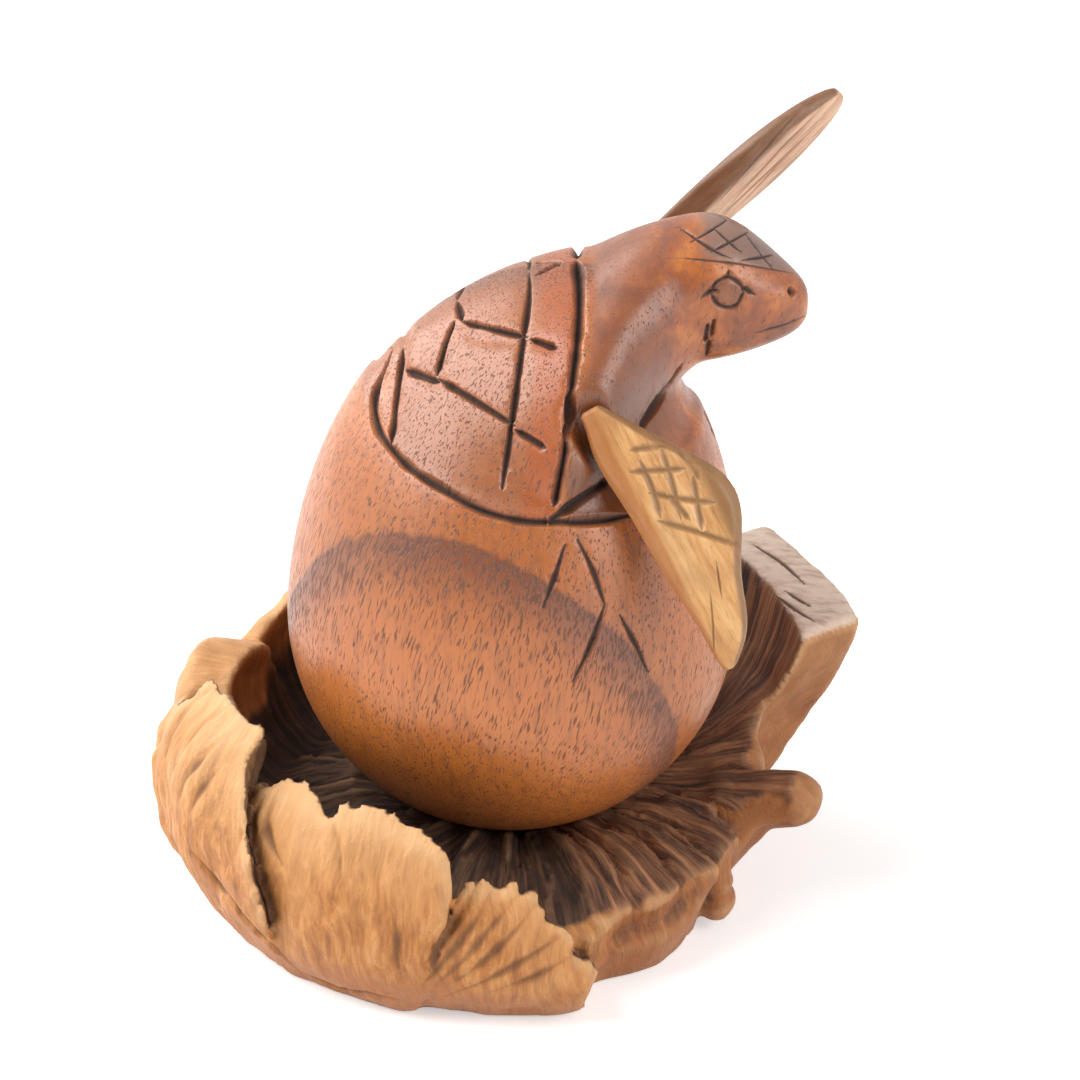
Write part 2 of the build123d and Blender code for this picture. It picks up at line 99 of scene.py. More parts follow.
def noise3(x, y, z, seed):
    """Smooth noise from -1 to 1 with lattice cells of size one."""
    fx, fy, fz = np.floor(x), np.floor(y), np.floor(z)
    ix, iy, iz = fx.astype(np.int64), fy.astype(np.int64), fz.astype(np.int64)
    tx, ty, tz = x - fx, y - fy, z - fz
    tx, ty, tz = tx * tx * (3 - 2 * tx), ty * ty * (3 - 2 * ty), tz * tz * (3 - 2 * tz)
    total = 0.0
    for a, b, c in product((0, 1), repeat=3):
        weight = (tx if a else 1 - tx) * (ty if b else 1 - ty) * (tz if c else 1 - tz)
        total = total + weight * hashed(ix + a, iy + b, iz + c, seed)
    return 2 * total - 1


def noise1(t, seed):
    """Smooth noise along a line."""
    f = np.floor(t)
    i = f.astype(np.int64)
    w = t - f
    w = w * w * (3 - 2 * w)
    zero = np.zeros_like(i)
    return 2 * ((1 - w) * hashed(i, zero, zero, seed) + w * hashed(i + 1, zero, zero, seed)) - 1


def fbm(x, y, z, seed, octaves=3):
    """Noise summed over finer and finer lattices."""
    total, size = 0.0, 1.0
    for octave in range(octaves):
        total = total + size * noise3(x / size, y / size, z / size, seed + octave)
        size *= 0.5
    return total


def step(low, high, value):
    """Smooth rise from 0 to 1 between two limits."""
    t = np.clip((value - low) / (high - low), 0.0, 1.0)
    return t * t * (3 - 2 * t)


def soft_min(a, b, k):
    """Union of two distance fields with a fillet."""
    h = np.clip(0.5 + 0.5 * (b - a) / k, 0.0, 1.0)
    return b + (a - b) * h - k * h * (1 - h)


def soft_max(a, b, k):
    """Common part of two distance fields with a rounded edge."""
    return -soft_min(-a, -b, k)


def polygon_field(polygon, x, y):
    """Signed distance to a closed outline, negative inside."""
    polygon = np.asarray(polygon, float)
    best = np.full(x.shape, 1e9)
    inside = np.zeros(x.shape, bool)
    for (ax, ay), (bx, by) in zip(polygon, np.roll(polygon, -1, axis=0)):
        ex, ey = bx - ax, by - ay
        wx, wy = x - ax, y - ay
        t = np.clip((wx * ex + wy * ey) / (ex * ex + ey * ey + 1e-12), 0.0, 1.0)
        best = np.minimum(best, (wx - t * ex) ** 2 + (wy - t * ey) ** 2)
        crosses = (ay > y) != (by > y)
        with np.errstate(divide="ignore", invalid="ignore"):
            inside ^= crosses & (wx < ex * wy / (ey if ey else 1e-12))
    return np.where(inside, -1.0, 1.0) * np.sqrt(best)


class Lookup:
    """A field worked out once on a plane grid and read between its points."""

    def __init__(self, polygon, low, high, cell):
        self.low, self.cell = np.array(low, float), cell
        xs = np.arange(low[0], high[0] + cell, cell)
        ys = np.arange(low[1], high[1] + cell, cell)
        self.values = polygon_field(polygon, *np.meshgrid(xs, ys, indexing="ij"))

    def read(self, x, y):
        u = np.clip((x - self.low[0]) / self.cell, 0, self.values.shape[0] - 1.001)
        v = np.clip((y - self.low[1]) / self.cell, 0, self.values.shape[1] - 1.001)
        i, j = u.astype(int), v.astype(int)
        s, t = u - i, v - j
        table = self.values
        return (
            (1 - s) * (1 - t) * table[i, j] + s * (1 - t) * table[i + 1, j]
            + (1 - s) * t * table[i, j + 1] + s * t * table[i + 1, j + 1]
        )


def smooth_path(points, gap):
    """Points at about the same gap along a smooth curve through the given points."""
    points = np.asarray(points, float)
    if len(points) < 3:
        count = max(2, int(np.linalg.norm(points[-1] - points[0]) / gap) + 1)
        return points[0] + np.linspace(0, 1, count)[:, None] * (points[-1] - points[0])
    padded = np.vstack([2 * points[0] - points[1], points, 2 * points[-1] - points[-2]])
    run = []
    for p0, p1, p2, p3 in zip(padded, padded[1:], padded[2:], padded[3:]):
        count = max(1, int(np.linalg.norm(p2 - p1) / gap))
        for t in np.arange(count) / count:
            run.append(
                0.5 * (2 * p1 + (p2 - p0) * t + (2 * p0 - 5 * p1 + 4 * p2 - p3) * t ** 2
                       + (3 * p1 - p0 - 3 * p2 + p3) * t ** 3)
            )
    run.append(points[-1])
    return np.array(run)


# A block of space sampled on a grid, from which pieces are cut and skinned

OUTSIDE = 3.0
BAND = 3.2
LINE_SPACING = 0.12
FINE_MARGIN = 0.3


class Block:
    """Distances to a surface in millimetres, on a grid of voxels."""

    def __init__(self, low, high, voxel):
        self.voxel = voxel
        self.first = np.floor(np.asarray(low, float) / voxel).astype(int)
        last = np.ceil(np.asarray(high, float) / voxel).astype(int)
        self.shape = tuple(last - self.first + 1)
        self.field = np.zeros(self.shape, np.float32)

    def axes(self):
        return [(np.arange(n) + f) * self.voxel for n, f in zip(self.shape, self.first)]

    def grid_of(self, values):
        grid = openvdb.FloatGrid(OUTSIDE)
        grid.transform = openvdb.createLinearTransform(self.voxel)
        grid.copyFromArray(np.ascontiguousarray(values, np.float32), ijk=tuple(int(f) for f in self.first))
        return grid

    def skin(self):
        points, quads = self.grid_of(self.field).convertToQuads(0.0)
        return np.asarray(points, float), np.asarray(quads, np.int64)

    def read(self, values, points):
        """Values of a field of this block at points."""
        u = np.clip(points / self.voxel - self.first, 0, np.array(self.shape) - 1.001)
        i = u.astype(int)
        f = u - i
        total = 0.0
        for corner in product((0, 1), repeat=3):
            weight = np.prod(np.where(corner, f, 1 - f), axis=1)
            total = total + weight * values[tuple((i + corner).T)]
        return total

    def blur(self, values, radius):
        """A field softened over a radius in millimetres."""
        reach = max(1, int(round(2 * radius / self.voxel)))
        weights = np.exp(-0.5 * (np.arange(-reach, reach + 1) * self.voxel / radius) ** 2)
        weights = (weights / weights.sum()).astype(np.float32)
        for axis in range(3):
            padding = [(0, 0)] * 3
            padding[axis] = (reach, reach)
            padded = np.pad(values, padding, mode="edge")
            total = np.zeros_like(values)
            for k, w in enumerate(weights):
                cut = [slice(None)] * 3
                cut[axis] = slice(k, k + values.shape[axis])
                total += w * padded[tuple(cut)]
            values = total
        return values

    def hollows(self, radius):
        """How far each place is hemmed in: above 0 in a hollow, below 0 on a ridge."""
        solid = np.clip(0.5 - self.field / self.voxel, 0.0, 1.0).astype(np.float32)
        return 2 * self.blur(solid, radius) - 1

    def slope(self, points):
        """Unit normals of the surface at points, from the field."""
        e = 0.7 * self.voxel
        rise = np.stack([
            self.read(self.field, points + d) - self.read(self.field, points - d) for d in np.eye(3) * e
        ], axis=1)
        return rise / (np.linalg.norm(rise, axis=1, keepdims=True) + 1e-9)


class Cuts:
    """V-cuts along lines on a surface: each line has points, half widths and depths."""

    def __init__(self):
        self.points, self.widths, self.depths = [], [], []

    def add(self, path, width, depth):
        """A line, filled in to a close spacing."""
        count = len(path)
        if count > 1:
            run = np.r_[0.0, np.cumsum(np.linalg.norm(np.diff(path, axis=0), axis=1))]
            close = np.linspace(0, run[-1], max(2, int(run[-1] / LINE_SPACING)))
            path = np.stack([np.interp(close, run, path[:, k]) for k in range(3)], axis=1)
            width, depth = np.interp(close, run, width), np.interp(close, run, depth)
        self.points.append(path)
        self.widths.append(width)
        self.depths.append(depth)

    def tree(self):
        self.all_points = np.vstack(self.points)
        self.all_widths = np.concatenate(self.widths)
        self.all_depths = np.concatenate(self.depths)
        tree = KDTree(len(self.all_points))
        for k, p in enumerate(self.all_points):
            tree.insert(Vector(p), k)
        tree.balance()
        return tree

    def measure(self, tree, points):
        """Distance from each point to the nearest line, and that line's half width and depth there."""
        far, width, depth = np.empty(len(points)), np.empty(len(points)), np.empty(len(points))
        for k, p in enumerate(points):
            _, i, far[k] = tree.find(Vector(p))
            width[k], depth[k] = self.all_widths[i], self.all_depths[i]
        return far, width, depth


def cut_surface(block, cuts, levels):
    """The block's skin with the cuts sunk in, and the share of the cut at each corner."""
    points, quads = block.skin()
    mesh = bmesh.new()
    corners = [mesh.verts.new(p) for p in points]
    for quad in quads:
        mesh.faces.new([corners[i] for i in quad])
    tree = cuts.tree()
    for reach in levels:
        mesh.verts.index_update()
        places = np.array([v.co for v in mesh.verts])
        far, width, _ = cuts.measure(tree, places)
        close = far < reach * width + FINE_MARGIN
        edges = [e for e in mesh.edges if close[e.verts[0].index] and close[e.verts[1].index]]
        bmesh.ops.subdivide_edges(mesh, edges=edges, cuts=1, use_grid_fill=True)
    mesh.verts.index_update()
    places = np.array([v.co for v in mesh.verts])
    far, width, depth = cuts.measure(tree, places)
    share = np.clip(1.08 - far / width, 0.0, 1.0)
    places = places - block.slope(places) * (share * depth)[:, None]
    faces = [[v.index for v in f.verts] for f in mesh.faces]
    mesh.free()
    return places, faces, share


def node_mesh(node):
    """Corners in millimetres and triangles of a CAD node."""
    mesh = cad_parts[node].data
    mesh.calc_loop_triangles()
    points = np.empty(len(mesh.vertices) * 3)
    mesh.vertices.foreach_get("co", points)
    triangles = np.empty(len(mesh.loop_triangles) * 3, np.int32)
    mesh.loop_triangles.foreach_get("vertices", triangles)
    return points.reshape(-1, 3) / MM, triangles.reshape(-1, 3)


def block_of_node(node, voxel, margin=4.0, close=0.0):
    """A block that holds the distance to a CAD node; narrow cuts up to twice the closing are filled."""
    points, triangles = node_mesh(node)
    block = Block(points.min(0) - margin, points.max(0) + margin, voxel)

    def level_set(corners, **faces):
        return openvdb.FloatGrid.createLevelSetFromPolygons(
            np.asarray(corners, np.float32), transform=openvdb.createLinearTransform(voxel),
            halfWidth=BAND / voxel, **faces,
        )

    grid = level_set(points, triangles=triangles.astype(np.uint32))
    if close:
        grown, quads = grid.convertToQuads(close)
        grid = level_set(grown, quads=np.asarray(quads, np.uint32))
    values = np.zeros(block.shape, np.float32)
    grid.copyToArray(values, ijk=tuple(int(f) for f in block.first))
    block.field = values + close
    return block


def tree_of(points, quads):
    return BVHTree.FromPolygons([Vector(p) for p in points], [tuple(int(i) for i in q) for q in quads])


def cast(tree, pixels, gap=4.0):
    """Picture points thrown onto a surface, those that miss it left out."""
    hits = []
    for px, py in smooth_path(pixels, gap):
        hit = tree.ray_cast(Vector(eye_point), Vector(pixel_ray(px, py)))[0]
        if hit is not None:
            hits.append(np.array(hit))
    return np.array(hits)


def taper(count, sharp, least):
    """A line's strength along its run, least at the ends; sharp is the share that tapers."""
    t = np.linspace(0, 1, count)
    return least + (1 - least) * np.clip(np.minimum(t, 1 - t) / sharp, 0.0, 1.0)


def carve(cuts, tree, strokes, least):
    """Lines of the photo as cuts; strokes are lines, half width, depth and the share that tapers."""
    for pixel_lines, width, depth, sharp in strokes:
        for pixels in pixel_lines:
            path = cast(tree, pixels, gap=3.0)
            if len(path) > 1:
                strength = taper(len(path), sharp, least)
                cuts.add(path, width * strength, depth * strength)


def piece(name, points, faces, node, attributes):
    """A mesh piece in the shared frame that stands for a CAD node."""
    mesh = bpy.data.meshes.new(name)
    sizes = np.array([len(f) for f in faces])
    loops = np.concatenate([np.asarray(f) for f in faces]).astype(np.int32)
    mesh.vertices.add(len(points))
    mesh.vertices.foreach_set("co", (points * MM).ravel())
    mesh.loops.add(len(loops))
    mesh.loops.foreach_set("vertex_index", loops)
    mesh.polygons.add(len(sizes))
    mesh.polygons.foreach_set("loop_start", np.r_[0, np.cumsum(sizes)[:-1]].astype(np.int32))
    mesh.update(calc_edges=True)
    mesh.validate()
    mesh.shade_smooth()
    for key, values in attributes.items():
        kind = "FLOAT_VECTOR" if values.ndim == 2 else "FLOAT"
        layer = mesh.attributes.new(key, kind, "POINT")
        layer.data.foreach_set("vector" if values.ndim == 2 else "value", values.astype(np.float32).ravel())
    thing = bpy.data.objects.new(name, mesh)
    bpy.context.scene.collection.objects.link(thing)
    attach(thing, "root")
    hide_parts(node)
    return thing


# Turtle in egg: carved lines read from the photo, repeated on the far flank

EGG_CENTRE = np.array([0.0, 0.0, 42.97])
EGG_RADIUS = 31.4
RIM_CENTRE = np.array([6.6, 0.0, 69.37])
RIM_BACK = np.array([-0.9938, 0.0, 0.1115])
ROOT_PLACE = np.array([11.8, 0.0, 76.5])
TURTLE_VOXEL = 0.54
LINE_CLOSING = 0.9
TURTLE_SOFTENING = 0.45
# limits in millimetres between which the masks of the turtle's parts rise
HEAD_START = (24.0, 27.0)
NECK_END = (24.0, 17.0)
STRIP_END = (5.6, 4.6)
SHOULDER_END = (13.0, 5.0)
EYE_END = (2.5, 1.9)

CARAPACE_CUTS = [
    [(528, 255), (529, 290), (523, 337), (515, 394), (510, 431), (502, 489)],
    [(536, 275), (561, 262)],
    [(531, 339), (556, 348)],
    [(515, 430), (545, 448)],
    [(462, 321), (526, 337)],
    [(456, 292), (458, 306), (462, 320)],
    [(454, 321), (444, 346), (437, 375)],
    [(439, 379), (476, 402), (514, 426)],
    [(439, 382), (406, 370)],
    [(403, 349), (397, 394), (391, 444)],
]
LIP_CUTS = [
    [(392, 350), (375, 394), (376, 426), (392, 449), (412, 469), (449, 492), (484, 511), (517, 520),
     (549, 522), (600, 520), (635, 515)],
    [(703, 408), (714, 434), (735, 480)],
    [(548, 522), (580, 500), (610, 480)],
    [(681, 366), (664, 392), (640, 428)],
]
RIM_CUT = [(574, 245), (579, 282), (578, 332), (572, 382), (566, 444), (554, 506)]
CHIP_CUTS = [
    [(565, 545), (555, 577), (543, 608)],
    [(578, 540), (594, 572), (605, 605)],
    [(605, 605), (591, 645), (573, 682)],
    [(620, 615), (636, 644), (648, 672)],
]
HEAD_CUTS = [
    [(677, 226), (715, 251), (731, 258)],
    [(691, 242), (727, 220)],
    [(711, 252), (750, 231)],
    [(743, 260), (772, 255)],
    [(713, 227), (742, 253)],
    [(745, 233), (774, 270)],
]
BROW_CUT = [(680, 258), (733, 263), (776, 270), (795, 274)]
EYE_CORNERS = [[(701, 298), (707, 294), (713, 291)], [(756, 295), (750, 292), (744, 289)]]
EYE_CUTS = [
    [(712, 295), (714, 286), (720, 280), (728, 277), (736, 280), (742, 286), (744, 294)],
    [(711, 294), (716, 303), (722, 307), (729, 308), (737, 305), (744, 292)],
    [(728, 279), (729, 270)],
    [(708, 324), (705, 342)],
    [(714, 319), (711, 337)],
    [(709, 340), (706, 356)],
]
MOUTH_CUT = [(804, 316), (790, 323), (772, 329), (755, 333)]
NOSTRIL = (792, 291)
EYE_CENTRE = (728, 293)

turtle = block_of_node("turtle_in_egg", TURTLE_VOXEL, close=LINE_CLOSING)
turtle.field = turtle.blur(turtle.field, TURTLE_SOFTENING)
blank, blank_quads = turtle.skin()
turtle_tree = tree_of(blank, blank_quads)


def both_flanks(path, over_top=False):
    """A line on the near flank and its twin on the far flank."""
    if over_top:
        path = path[path[:, 1] < 0.4]
    twin = []
    for x, y, z in path:
        place = turtle_tree.find_nearest(Vector((x, -y, z)))[0]
        twin.append(np.array(place))
    return [path, np.array(twin)]


turtle_cuts = Cuts()


def cut_flanks(pixel_lines, width, depth, sharp, over_top=True, gap=4.0):
    """V-cuts on both flanks from lines of the photo."""
    for pixels in pixel_lines:
        path = cast(turtle_tree, pixels, gap)
        if len(path) < 2:
            continue
        for side in both_flanks(path, over_top):
            if len(side) > 1:
                strength = taper(len(side), sharp, 0.35)
                wobble = 1 + 0.2 * noise1(np.arange(len(side)) * 0.35, len(turtle_cuts.points) + 3)
                turtle_cuts.add(side, width * strength * wobble, depth * strength * wobble)


cut_flanks(CARAPACE_CUTS, width=0.58, depth=0.85, sharp=0.14)
cut_flanks(LIP_CUTS, width=0.75, depth=1.0, sharp=0.06)
cut_flanks([RIM_CUT], width=0.9, depth=1.5, sharp=0.02)
cut_flanks(CHIP_CUTS, width=0.6, depth=0.65, sharp=0.5, over_top=False)
cut_flanks(HEAD_CUTS, width=0.32, depth=0.3, sharp=0.3, gap=2.5)
cut_flanks(EYE_CUTS, width=0.4, depth=0.4, sharp=0.1, over_top=False, gap=2.0)
cut_flanks([BROW_CUT], width=0.25, depth=0.12, sharp=0.3, over_top=False)
for corner in EYE_CORNERS:
    for side in both_flanks(cast(turtle_tree, corner, 1.5)):
        opening = np.linspace(0.15, 1.0, len(side))
        turtle_cuts.add(side, 0.95 * opening, 0.6 * opening)
cut_flanks([MOUTH_CUT], width=0.3, depth=0.25, sharp=0.4, over_top=False, gap=2.0)
nostril = cast(turtle_tree, [NOSTRIL, (NOSTRIL[0] + 1, NOSTRIL[1])], 1.0)[:1]
for side in both_flanks(nostril):
    turtle_cuts.add(side, np.array([0.8]), np.array([0.9]))

turtle_hollows = turtle.hollows(1.6)
turtle_points, turtle_faces, turtle_share = cut_surface(turtle, turtle_cuts, (1.25, 1.15))
turtle_normals = turtle.slope(turtle_points)
turtle_x, _, turtle_z = turtle_points.T
brow = cast(turtle_tree, [(672, 254), (733, 263), (795, 274)], 6.0)
brow_z = np.interp(turtle_x, brow[:, 0], brow[:, 2])
on_head = step(*HEAD_START, turtle_x)
# the part of the head above the brow that faces up, for a painted sheen
scalp_sheen = on_head * step(-0.3, 0.5, turtle_z - brow_z) * step(0.2, 0.45, turtle_normals[:, 2])
lip_line = cast(turtle_tree, LIP_CUTS[0], 4.0)
lip_z = np.interp(turtle_x, *lip_line[np.argsort(lip_line[:, 0])][:, [0, 2]].T)
behind_rim = (turtle_points - RIM_CENTRE) @ RIM_BACK
shell_part = step(-0.4, 0.4, turtle_z - lip_z) * step(0.0, 1.0, behind_rim)
strip = shell_part * step(*STRIP_END, behind_rim)
above_lip = step(-0.6, 0.6, turtle_z - lip_z)
head_part = above_lip * step(-0.5, -3.0, behind_rim)
to_root = np.linalg.norm(turtle_points * (1.0, 0.0, 1.0) - ROOT_PLACE, axis=1)
# around the flipper's root: a mask for painted shade
shoulder_shade = above_lip * step(0.5, -1.0, behind_rim) * step(*SHOULDER_END, to_root)
# the neck next to the shell's rim: a mask for painted shade
neck_shade = head_part * step(*NECK_END, turtle_x)
eye_centre = cast(turtle_tree, [EYE_CENTRE, (EYE_CENTRE[0] + 1, EYE_CENTRE[1])], 1.0)[:1]
eye = 0.0
for side in both_flanks(eye_centre):
    eye = eye + step(*EYE_END, np.linalg.norm(turtle_points - side[0], axis=1))
turtle_piece = piece(
    "carved_turtle", turtle_points, turtle_faces, "turtle_in_egg",
    {
        "cut": turtle_share,
        "hollow": turtle.read(turtle_hollows, turtle_points),
        "scalp_sheen": scalp_sheen,
        "shell_part": shell_part,
        "strip": strip,
        "head_part": head_part,
        "shoulder_shade": shoulder_shade,
        "neck_shade": neck_shade,
        "eye": eye,
    },
)

# Flippers: bevelled blades with a scale hatch, each in its own lengthwise frame

BLADE_VOXEL = 0.34
BLADE_SOFTENING = 0.34
RIGHT_HATCH = [
    [(640, 461), (652, 488), (661, 518)],
    [(661, 447), (672, 482), (681, 519)],
    [(693, 476), (702, 530)],
    [(630, 450), (667, 446)],
    [(630, 472), (685, 469)],
    [(649, 493), (680, 499), (715, 503)],
    [(658, 521), (700, 533), (742, 547)],
    [(678, 446), (700, 480)],
    [(668, 495), (690, 520)],
]
RIGHT_CRACKS = [[(710, 590), (713, 625), (714, 655)], [(716, 560), (722, 600)]]
LEFT_LINES = [
    [(711, 211), (760, 155), (809, 99)],
    [(727, 208), (780, 150), (826, 104)],
    [(738, 208), (790, 152), (828, 116)],
    [(722, 216), (770, 170), (800, 140)],
]


def blade(node, name, strokes):
    """A flipper with softened edges and cut lines."""
    block = block_of_node(node, BLADE_VOXEL, margin=3.0)
    block.field = block.blur(block.field, BLADE_SOFTENING)
    tree = tree_of(*block.skin())
    lines = Cuts()
    carve(lines, tree, strokes, 0.3)
    points, faces, share = cut_surface(block, lines, (1.4, 1.3))
    centre = points.mean(0)
    axes = np.linalg.svd((points - centre)[::7], full_matrices=False)[2]
    for axis in axes[:2]:
        axis *= math.copysign(1.0, axis[0])
    local = (points - centre) @ axes.T
    attributes = {
        "cut": share, "leaf": local, "hollow": block.read(block.hollows(1.0), points),
        "tilt": block.slope(points) @ axes[1],
    }
    return piece(name, points, faces, node, attributes)


right_blade = blade(
    "right_front_flipper", "right_blade",
    [(RIGHT_HATCH, 0.72, 0.42, 0.14), (RIGHT_CRACKS, 0.25, 0.3, 0.3)],
)
left_blade = blade("left_front_flipper", "left_blade", [(LEFT_LINES, 0.22, 0.2, 0.3)])

# Wood base: fluted petals, a ridged fan of roots on the open side, and a dished heart

BASE_VOXEL = 0.62
BASE_LOW, BASE_HIGH = (-54.0, -50.0, -3.0), (57.0, 50.0, 43.0)
PIXELS_PER_MM = 7.25
FLOOR_RADIUS, FLOOR_HEIGHT = 23.0, 11.3
HEART_RADIUS, HEART_FLARE = 29.0, 4.6
WARP_SIZE, WARP_LENGTH = 1.5, 17
PETAL_SPAN = 58
PROFILE_CELL, PICTURE_CELL = 0.4, 2.0
NEST_GAP = 0.25
BORE_RADIUS, BORE_FLOOR = 4.15, 5.2
PETAL_EDGES = {
    197: [(100, 1090), (100, 760), (150, 752), (160, 742), (166, 722), (176, 706), (190, 696),
          (200, 684), (210, 678), (219, 684), (224, 694), (232, 698), (240, 703), (244, 714),
          (255, 721), (262, 724), (268, 738), (256, 748), (250, 770), (245, 800), (248, 850),
          (262, 900), (300, 1090)],
    233: [(330, 1090), (270, 940), (240, 890), (230, 850), (237, 822), (250, 800), (262, 786),
          (275, 780), (287, 771), (298, 766), (307, 773), (312, 786), (318, 800), (326, 818),
          (333, 822), (337, 814), (340, 800), (347, 783), (360, 779), (372, 783), (384, 786),
          (396, 798), (406, 806), (418, 817), (431, 826), (440, 838), (446, 850), (451, 872),
          (452, 900), (444, 930), (430, 960), (420, 1005), (415, 1090)],
    269: [(370, 1090), (395, 1000), (422, 972), (446, 930), (452, 905), (462, 885), (470, 872),
          (481, 866), (489, 872), (494, 884), (499, 890), (505, 880), (516, 877), (523, 882),
          (520, 893), (530, 888), (539, 892), (536, 904), (545, 911), (540, 919), (556, 925),
          (571, 932), (576, 943), (570, 951), (580, 960), (590, 960), (596, 971), (590, 985),
          (585, 1000), (575, 1090)],
}
ROUND_EDGE = [(-0.36, 0.3), (-0.5, 0.62), (-0.34, 0.9), (0.0, 1.0), (0.32, 0.92), (0.5, 0.6), (0.36, 0.3)]
TOOTHED_EDGE = [(-0.46, 0.2), (-0.5, 0.5), (-0.36, 0.8), (-0.21, 0.97), (-0.1, 0.93), (-0.03, 0.82),
                (0.08, 1.0), (0.25, 0.95), (0.44, 0.72), (0.5, 0.4), (0.46, 0.2)]
LEANING_EDGE = [(-0.44, 0.2), (-0.5, 0.6), (-0.42, 0.9), (-0.12, 1.04), (0.15, 0.92), (0.42, 0.76),
                (0.52, 0.55), (0.46, 0.2)]
SAWN_EDGE = [(-0.4, 0.2), (-0.48, 0.5), (-0.57, 0.72), (-0.61, 0.83), (-0.58, 0.88), (-0.2, 0.94),
             (0.18, 1.0), (0.25, 0.94), (0.28, 0.7), (0.24, 0.3)]
# azimuth, width, foot radius, belly radius and height, tip radius and height,
# thickness of the wall and of the edge, outline (none: the one above), folds, raggedness
PETALS = [
    (197, 32, 40.0, 49.7, 17.5, 44.6, 33.0, 5.6, 2.0, None, 0.8, 1.0),
    (233, 33, 40.9, 47.8, 14.2, 39.1, 32.0, 5.6, 2.2, None, 0.5, 1.0),
    (269, 24, 39.1, 45.5, 9.9, 40.5, 22.4, 5.2, 1.8, None, 0.7, 1.0),
    (36, 30, 26.2, 43.6, 15.8, 51.5, 39.3, 9.0, 9.5, SAWN_EDGE, 0.25, 0.1),
    (70, 34, 28.1, 45.1, 15.8, 41.4, 32.0, 5.6, 2.2, ROUND_EDGE, 1.0, 1.0),
    (108, 32, 32.7, 46.0, 16.5, 42.3, 30.7, 5.6, 2.2, TOOTHED_EDGE, 1.0, 1.0),
    (146, 31, 38.6, 46.0, 17.2, 42.8, 32.6, 5.6, 2.6, LEANING_EDGE, 0.5, 0.35),
    (167, 25, 41.4, 48.8, 17.8, 46.0, 31.5, 9.0, 8.0, ROUND_EDGE, 0.25, 0.05),
]
# azimuth, inner and outer radius, inner and outer height, thickness at the end
ROOTS = [
    (284, 14, 33, 13.0, 6.2, 2.0), (303, 14, 33, 13.3, 7.4, 2.3), (318, 14, 32.5, 13.5, 9.6, 2.3),
    (333, 14, 31.5, 14.0, 11.2, 2.5), (349, 14, 40.4, 14.6, 16.6, 4.1), (3, 14, 33, 14.9, 16.8, 2.8),
]
# azimuth, rim radius, rim height and foot radius of the fan
FAN_RIM = [
    (-98, 37.0, 5.0, 33.0), (-75, 36.5, 5.5, 33.0), (-63, 36.0, 6.8, 32.5), (-52, 35.7, 7.6, 32.0),
    (-42, 35.2, 9.5, 31.0), (-35, 34.6, 12.6, 30.0), (-30, 32.5, 12.0, 28.5), (-24, 30.5, 11.6, 26.5),
    (-17, 36.0, 14.6, 26.0), (-11, 42.0, 17.6, 26.5), (-5, 36.5, 16.8, 26.0), (1, 33.5, 16.8, 26.0),
    (7, 36.5, 22.0, 26.0), (13, 38.5, 25.4, 26.5), (21, 39.5, 27.0, 27.0), (32, 40.0, 28.0, 28.0),
]
FAN_START, FAN_END = FAN_RIM[0][0], FAN_RIM[-1][0]
# heart: radii and heights of the dish and of the crests that run out from it, and where the fan leaves it
DISH_RADII, DISH_HEIGHTS = [0, 14, 23, 30, 37, 42], [11.6, 13.4, 15.0, 13.6, 11.0, 9.0]
FAN_RADIUS, FAN_HEIGHT = 20.0, 14.6
CREST_RADII, CREST_HEIGHTS, CREST_SLOPE = [12, 32, 36], [16.2, 14.2, 9.0], 1.5
CREST_TURNS = [22, 45, 64, 86, 105, 127, 150, 168, 190, 211, 232, 250, 268]
# small growths: azimuth, radius and height of both ends, then thickness
GROWTHS = [
    ((184, 48.2, 15.0), (183, 49.2, 24.6), 1.2), ((209, 41.0, 19.0), (211, 40.0, 24.6), 1.9),
    ((203, 40.5, 23.0), (199, 37.0, 27.6), 1.5), ((333, 32.0, 4.5), (331, 32.6, 9.4), 2.8),
]
FLUTE_CUTS = [
    [(214, 687), (188, 706), (172, 732), (165, 758)],
    [(227, 709), (204, 722), (185, 745), (173, 771)],
    [(224, 735), (201, 758), (185, 778), (180, 797)],
    [(217, 771), (199, 791), (191, 810)],
    [(279, 784), (269, 807), (266, 826), (273, 849), (286, 872)],
    [(263, 797), (251, 820), (247, 843), (255, 869)],
    [(333, 822), (338, 850), (340, 880)],
    [(390, 908), (396, 934), (396, 960), (403, 983)],
    [(432, 934), (435, 953), (430, 973)],
    [(494, 886), (477, 917), (451, 953), (422, 986)],
    [(520, 893), (494, 924), (464, 960), (432, 989)],
    [(536, 904), (510, 937), (474, 970), (438, 992)],
    [(566, 932), (526, 960), (484, 983), (445, 996)],
    [(574, 955), (533, 979), (490, 992)],
    [(483, 872), (463, 908), (437, 948), (419, 980)],
]
BELLY_CUTS = [[(187, 847), (215, 880), (250, 925), (299, 971)], [(299, 971), (345, 990), (400, 1000)]]
SLAB_CUTS = [[(751, 543), (782, 562), (806, 585)], [(776, 596), (816, 622)], [(785, 590), (812, 607)]]


